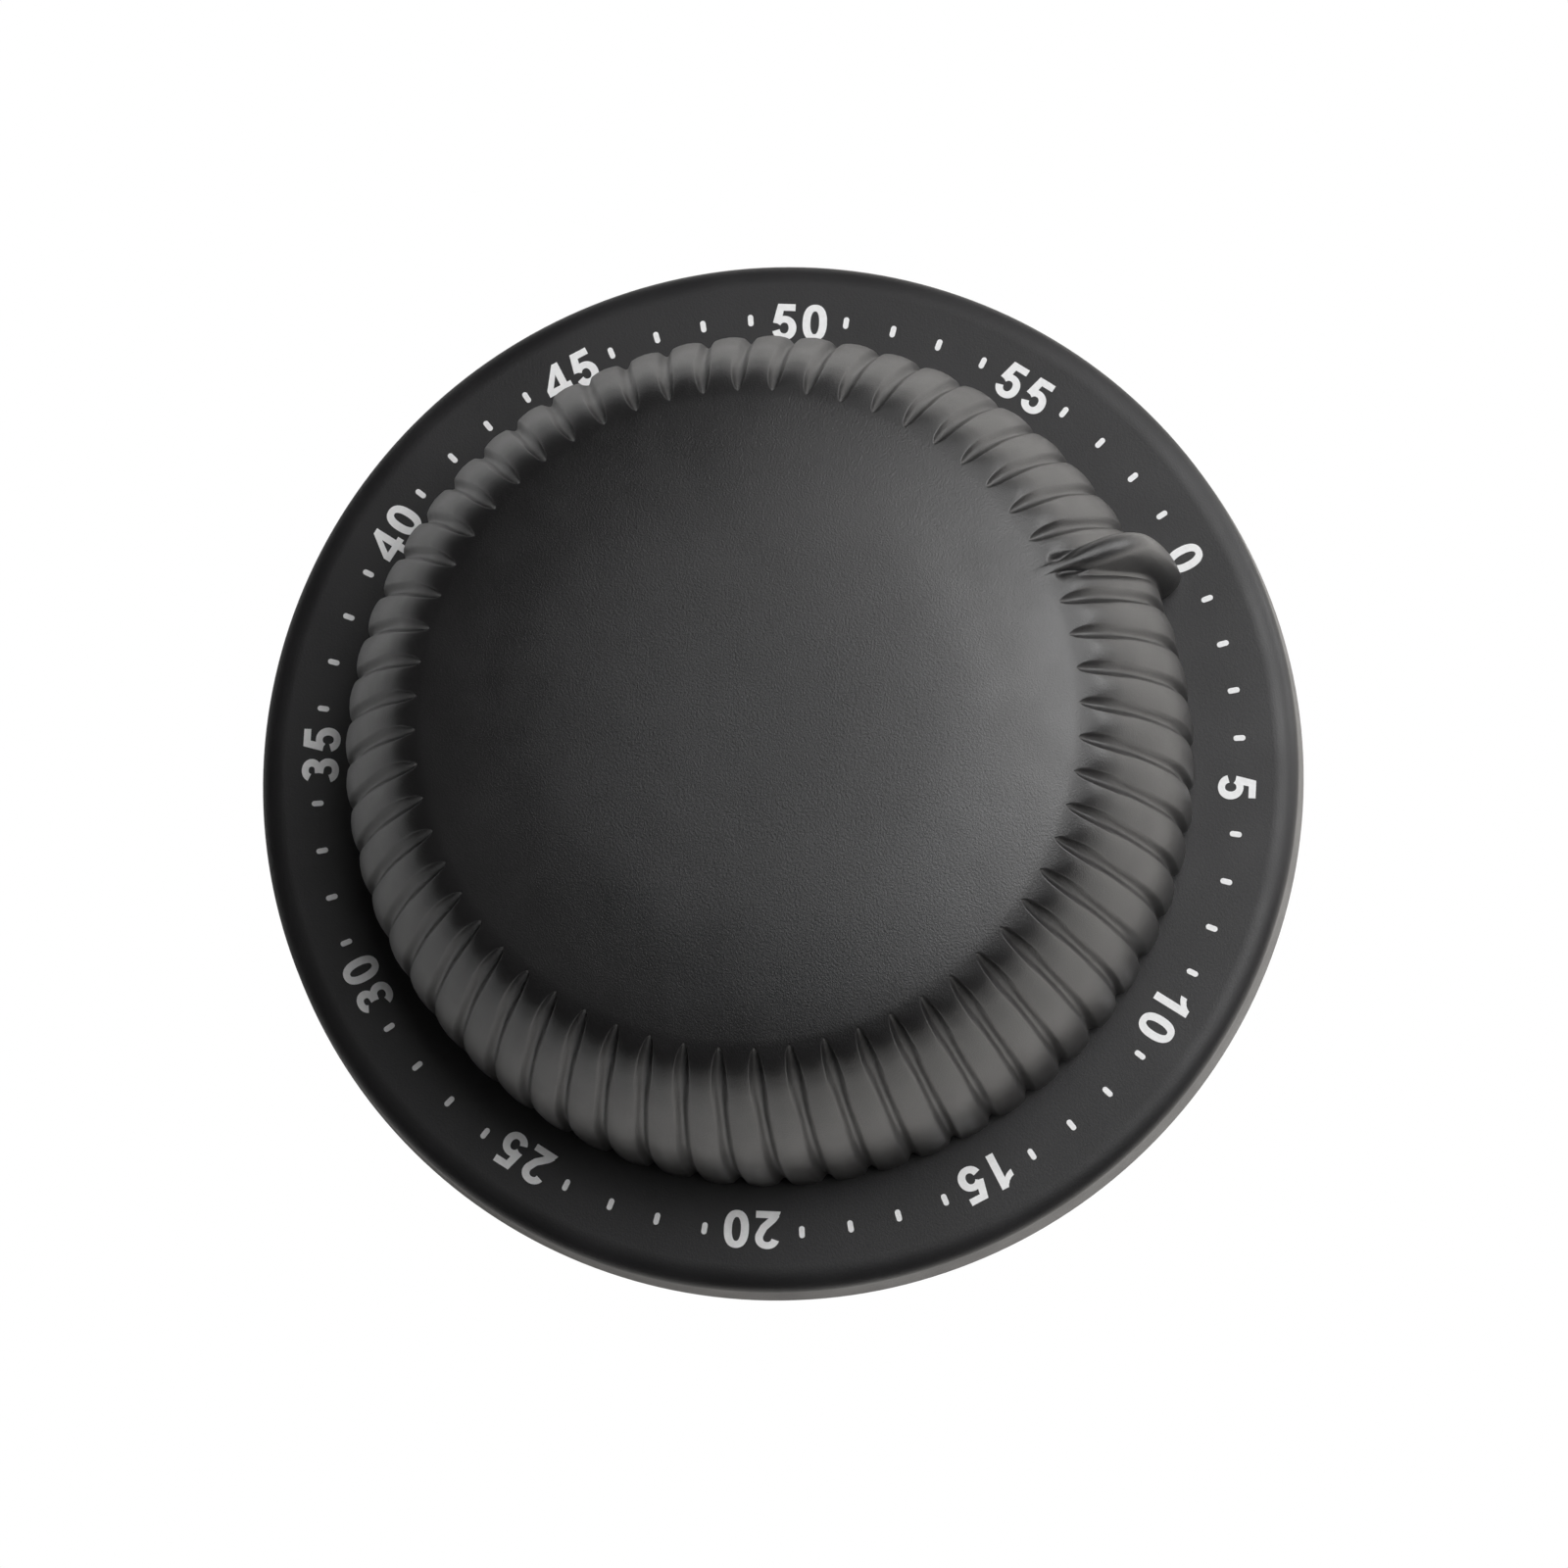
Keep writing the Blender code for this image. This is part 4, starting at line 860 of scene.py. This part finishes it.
def make_cover():
    """A flat back with a rounded edge, wells for the magnets, screw holes and the ring's seat."""
    foot, top = COVER_FOOT, CASE_FOOT - GAP
    _, ring_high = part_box("grip_ring")
    seat_out = ring_high.x + GAP
    seat_in = seat_out - RING_WIDTH - 2 * GAP
    seat_z = ring_high.z + GAP
    lip = 0.15 * MM
    profile = [
        (0.0, top),
        (COVER_R - lip, top),
        (COVER_R, top - lip),
        *arc((COVER_R - COVER_ROUND, foot + COVER_ROUND), COVER_ROUND, 0.0, -90.0),
        (seat_out + lip, foot),
        (seat_out, foot + lip),
        (seat_out, seat_z),
        (seat_in, seat_z),
        (seat_in, foot + lip),
        (seat_in - lip, foot),
        (0.0, foot),
    ]
    cover = turned_mesh("rear_cover_shell", profile, RIM_STEPS)
    well_foot = top - 0.75 * MM         # inside the cover, which the well joins
    wells, cuts = [], []
    for number in NUMBERS:
        magnet = f"magnet_{number}"
        at, bore = centre_of(magnet), radius_of(magnet) + GAP
        roof = top_of(magnet) + GAP
        wells.append(peg(bore + WELL_WALL, roof + WELL_WALL, well_foot, at))
        cuts.append(peg(bore, roof, foot - GAP, at))
        screw = f"cover_screw_{number}"
        at, head = centre_of(screw), radius_of(screw) + GAP
        cuts.append(peg(head, foot + SCREW_SEAT, foot - GAP, at))
        cuts.append(peg(SCREW_R + GAP, top + GAP, foot, at, 32))
    mesh = cut_or_join(cut_or_join(cover, "UNION", wells), "DIFFERENCE", cuts)
    mesh.name = "rear_cover_shell"
    add_piece("rear_cover_shell", mesh, cover_black, "case", "black_plastic", "rear_cover")


def make_ring():
    """A rubber ring with a rounded foot and two fine grooves."""
    low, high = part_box("grip_ring")
    outer, inner = high.x, high.x - RING_WIDTH
    top, foot = high.z, low.z
    middle_z = foot + RING_ROUND
    profile = [(inner, top), (outer, top)]
    profile += arc((outer - RING_ROUND, middle_z), RING_ROUND, 0.0, -90.0, 4)
    for share in GROOVES:
        r = inner + share * RING_WIDTH
        profile += [(r + GROOVE_HALF, foot), (r, foot + GROOVE_DEPTH), (r - GROOVE_HALF, foot)]
    profile += arc((inner + RING_ROUND, middle_z), RING_ROUND, -90.0, -180.0, 4)
    mesh = turned_mesh("grip_ring_soft", profile, RIM_STEPS)
    add_piece("grip_ring_soft", mesh, rubber_black, "case", "grip_rubber", "grip_ring")


def make_magnets():
    for number in NUMBERS:
        node = f"magnet_{number}"
        low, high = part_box(node)
        disc = peg(radius_of(node), high.z, low.z, centre_of(node), chamfer=MAGNET_CHAMFER)
        disc.name = f"magnet_disc_{number}"
        add_piece(disc.name, disc, magnet_grey, "case", "magnet_ferrite", node)


def block(middle, size):
    work = bmesh.new()
    place = Matrix.Translation(middle) @ Matrix.Diagonal((*size, 1.0))
    bmesh.ops.create_cube(work, size=1.0, matrix=place)
    mesh = bpy.data.meshes.new("block")
    work.to_mesh(mesh)
    work.free()
    return mesh


def make_cover_screws():
    """Pan heads with a cross recess, and a shank with a fine thread."""
    end, root = 0.3 * MM, SCREW_R - THREAD_DEPTH
    plain = 0.6 * MM                    # length without thread, end and neck together
    for number in NUMBERS:
        node = f"cover_screw_{number}"
        low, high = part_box(node)
        at, head_r = centre_of(node), radius_of(node)
        head_top = COVER_FOOT + SCREW_SEAT - GAP
        profile = [(0.0, high.z), (SCREW_R - end, high.z)]
        for i in range(int((high.z - head_top - plain) / THREAD_PITCH)):
            z = high.z - end - i * THREAD_PITCH
            groove_top, groove_foot = z - 0.4 * THREAD_PITCH, z - 0.6 * THREAD_PITCH
            profile += [(SCREW_R, z), (root, groove_top), (root, groove_foot)]
        profile += [
            (root, head_top),
            (head_r, head_top),
            *arc((head_r - HEAD_ROUND, low.z + HEAD_ROUND), HEAD_ROUND, 0.0, -90.0, 5),
            (0.0, low.z),
        ]
        screw = turned_mesh(node, profile, 48, at)
        middle = (*at, low.z + (SLOT_DEPTH - GAP) / 2)
        slots = [
            block(middle, (2 * a, 2 * b, SLOT_DEPTH + GAP))
            for a, b in ((SLOT_REACH, SLOT_HALF), (SLOT_HALF, SLOT_REACH))
        ]
        mesh = cut_or_join(screw, "DIFFERENCE", slots)
        mesh.name = f"cross_screw_{number}"
        add_piece(mesh.name, mesh, FINISHES["steel"], "case", "steel", node)


def assign(node, material):
    mesh = frame["nodes"][node].data
    mesh.materials.clear()
    mesh.materials.append(material)


def make_inside():
    """The movement keeps its CAD shapes and takes a metal by its material slot."""
    for part in frame["record"]["subparts"]:
        finish = FINISHES.get(part["material_slot"])
        if finish:
            assign(part["node"], finish)


# ---- Studio -------------------------------------------------------------------------------------

RIGHT_DEG = 62.8                        # azimuth of the picture's right
FLOOR_REACH = 6.0
FLOOR_DROP = 0.2 * MM                   # below the timer, so that their faces don't meet
FLOOR_TURN = -10.0                      # to its bright side, from the picture's right
FLOOR_GLOW = 0.9                        # what the object sees of the floor on its bright side
FLOOR_DARK = 0.02                       # and on the other
FLOOR_FAR = 0.4                         # share of that well away from it
FLOOR_FADE = 45 * MM
FLOOR_TINT = (1.0, 0.95, 0.88)
WALL_GLOW = ((0.0, 0.05), (0.3, 0.03), (0.7, 0.015), (1.0, 0.01))   # height, level
WALL_TINT = (1.0, 0.985, 0.965)
SOFTBOX = (0.55, 0.55)
SOFTBOX_DISTANCE = 1.0
SOFTBOXES = (                           # name, degrees round from the picture's right, up, power
    ("key_high", 40.0, 64.0, 3.24),
    ("key_right", 5.0, 64.0, 2.5),
    ("key_middle", 40.0, 46.0, 1.4),
    ("low_right", 25.0, 12.0, 4.56),
    ("low_top", 60.0, 28.0, 0.95),
    ("right_middle", 5.0, 46.0, 0.7),
    ("left_fill", 200.0, 60.0, 0.17),
)


def camera_only(tree, shader_for_camera, shader_for_rest, output):
    """One shader for what the camera sees, and another for what lights the object."""
    path = tree.nodes.new("ShaderNodeLightPath")
    mix = tree.nodes.new("ShaderNodeMixShader")
    tree.links.new(path.outputs["Is Camera Ray"], mix.inputs[0])
    tree.links.new(shader_for_rest, mix.inputs[1])
    tree.links.new(shader_for_camera, mix.inputs[2])
    tree.links.new(mix.outputs[0], output.inputs["Surface"])


def make_floor():
    """White to the camera, and glowing from one side in what the object reflects."""
    mesh = bpy.data.meshes.new("floor")
    steps = 96
    rim = [(*polar(FLOOR_REACH, 2 * math.pi * i / steps), 0.0) for i in range(steps)]
    mesh.from_pydata(rim, [], [tuple(range(steps))])
    floor = new_object("floor", mesh)
    floor.location.z = -FLOOR_DROP
    s = Shader("studio_white")
    s.set(Roughness=0.9, Specular_IOR_Level=0.1)
    toward = (*polar(1.0, math.radians(RIGHT_DEG + FLOOR_TURN)), 0.0)
    across = s.node("ShaderNodeVectorMath", {0: s.place, 1: toward}, operation="DOT_PRODUCT")
    away = s.node("ShaderNodeVectorMath", {0: s.place}, operation="LENGTH")
    side = s.ramp(across.outputs["Value"], -FLOOR_FADE, FLOOR_FADE, FLOOR_DARK, FLOOR_GLOW)
    near = s.ramp(away.outputs["Value"], FLOOR_FADE, 2 * FLOOR_FADE, 1.0, FLOOR_FAR)
    glow = s.node("ShaderNodeMath", {0: side, 1: near}, operation="MULTIPLY")
    s.link(glow.outputs[0], "Emission Strength")
    s.link(s.blend(s.noise(0.4, 2.0), (0.80, 0.80, 0.80), (0.83, 0.83, 0.83)), "Base Color")
    s.surface.inputs["Emission Color"].default_value = (*FLOOR_TINT, 1.0)
    white = s.node("ShaderNodeEmission", {"Strength": 1.0}).outputs[0]
    camera_only(s.tree, white, s.surface.outputs[0], s.tree.nodes["Material Output"])
    mesh.materials.append(s.material)


def add_softbox(name, azimuth_deg, elevation_deg, power):
    data = bpy.data.lights.new(name, "AREA")
    data.shape = "RECTANGLE"
    data.size, data.size_y = SOFTBOX
    data.energy = power
    light = new_object(name, data)
    azimuth, elevation = math.radians(azimuth_deg), math.radians(elevation_deg)
    level = SOFTBOX_DISTANCE * math.cos(elevation)
    light.location = (*polar(level, azimuth), SOFTBOX_DISTANCE * math.sin(elevation))
    light.rotation_euler = (-light.location).to_track_quat("-Z", "Y").to_euler()


def make_world():
    """The walls of the room: white to the camera, and dim in what the object reflects."""
    world = bpy.data.worlds.new("studio")
    bpy.context.scene.world = world
    world.use_nodes = True
    tree = world.node_tree
    dim = tree.nodes["Background"]
    place = tree.nodes.new("ShaderNodeTexCoord")
    split = tree.nodes.new("ShaderNodeSeparateXYZ")
    tree.links.new(place.outputs["Generated"], split.inputs[0])
    ramp = tree.nodes.new("ShaderNodeValToRGB")
    tree.links.new(split.outputs["Z"], ramp.inputs[0])
    elements = ramp.color_ramp.elements
    elements[0].position, elements[1].position = WALL_GLOW[0][0], WALL_GLOW[-1][0]
    for height, _ in WALL_GLOW[1:-1]:
        elements.new(height)
    for element, (_, value) in zip(elements, WALL_GLOW):
        element.color = (*(value * tint for tint in WALL_TINT), 1.0)
    tree.links.new(ramp.outputs[0], dim.inputs["Color"])
    white = tree.nodes.new("ShaderNodeBackground")
    white.inputs["Color"].default_value = (1.0, 1.0, 1.0, 1.0)
    camera_only(tree, white.outputs[0], dim.outputs[0], tree.nodes["World Output"])


make_camera()
make_world()
make_floor()
for name, turn_deg, up_deg, power in SOFTBOXES:
    add_softbox(name, RIGHT_DEG + turn_deg, up_deg, power)

make_knob()
make_case()
make_print()
make_inside()
make_cover()
make_ring()
make_magnets()
make_cover_screws()

bpy.context.scene.view_settings.view_transform = "Standard"
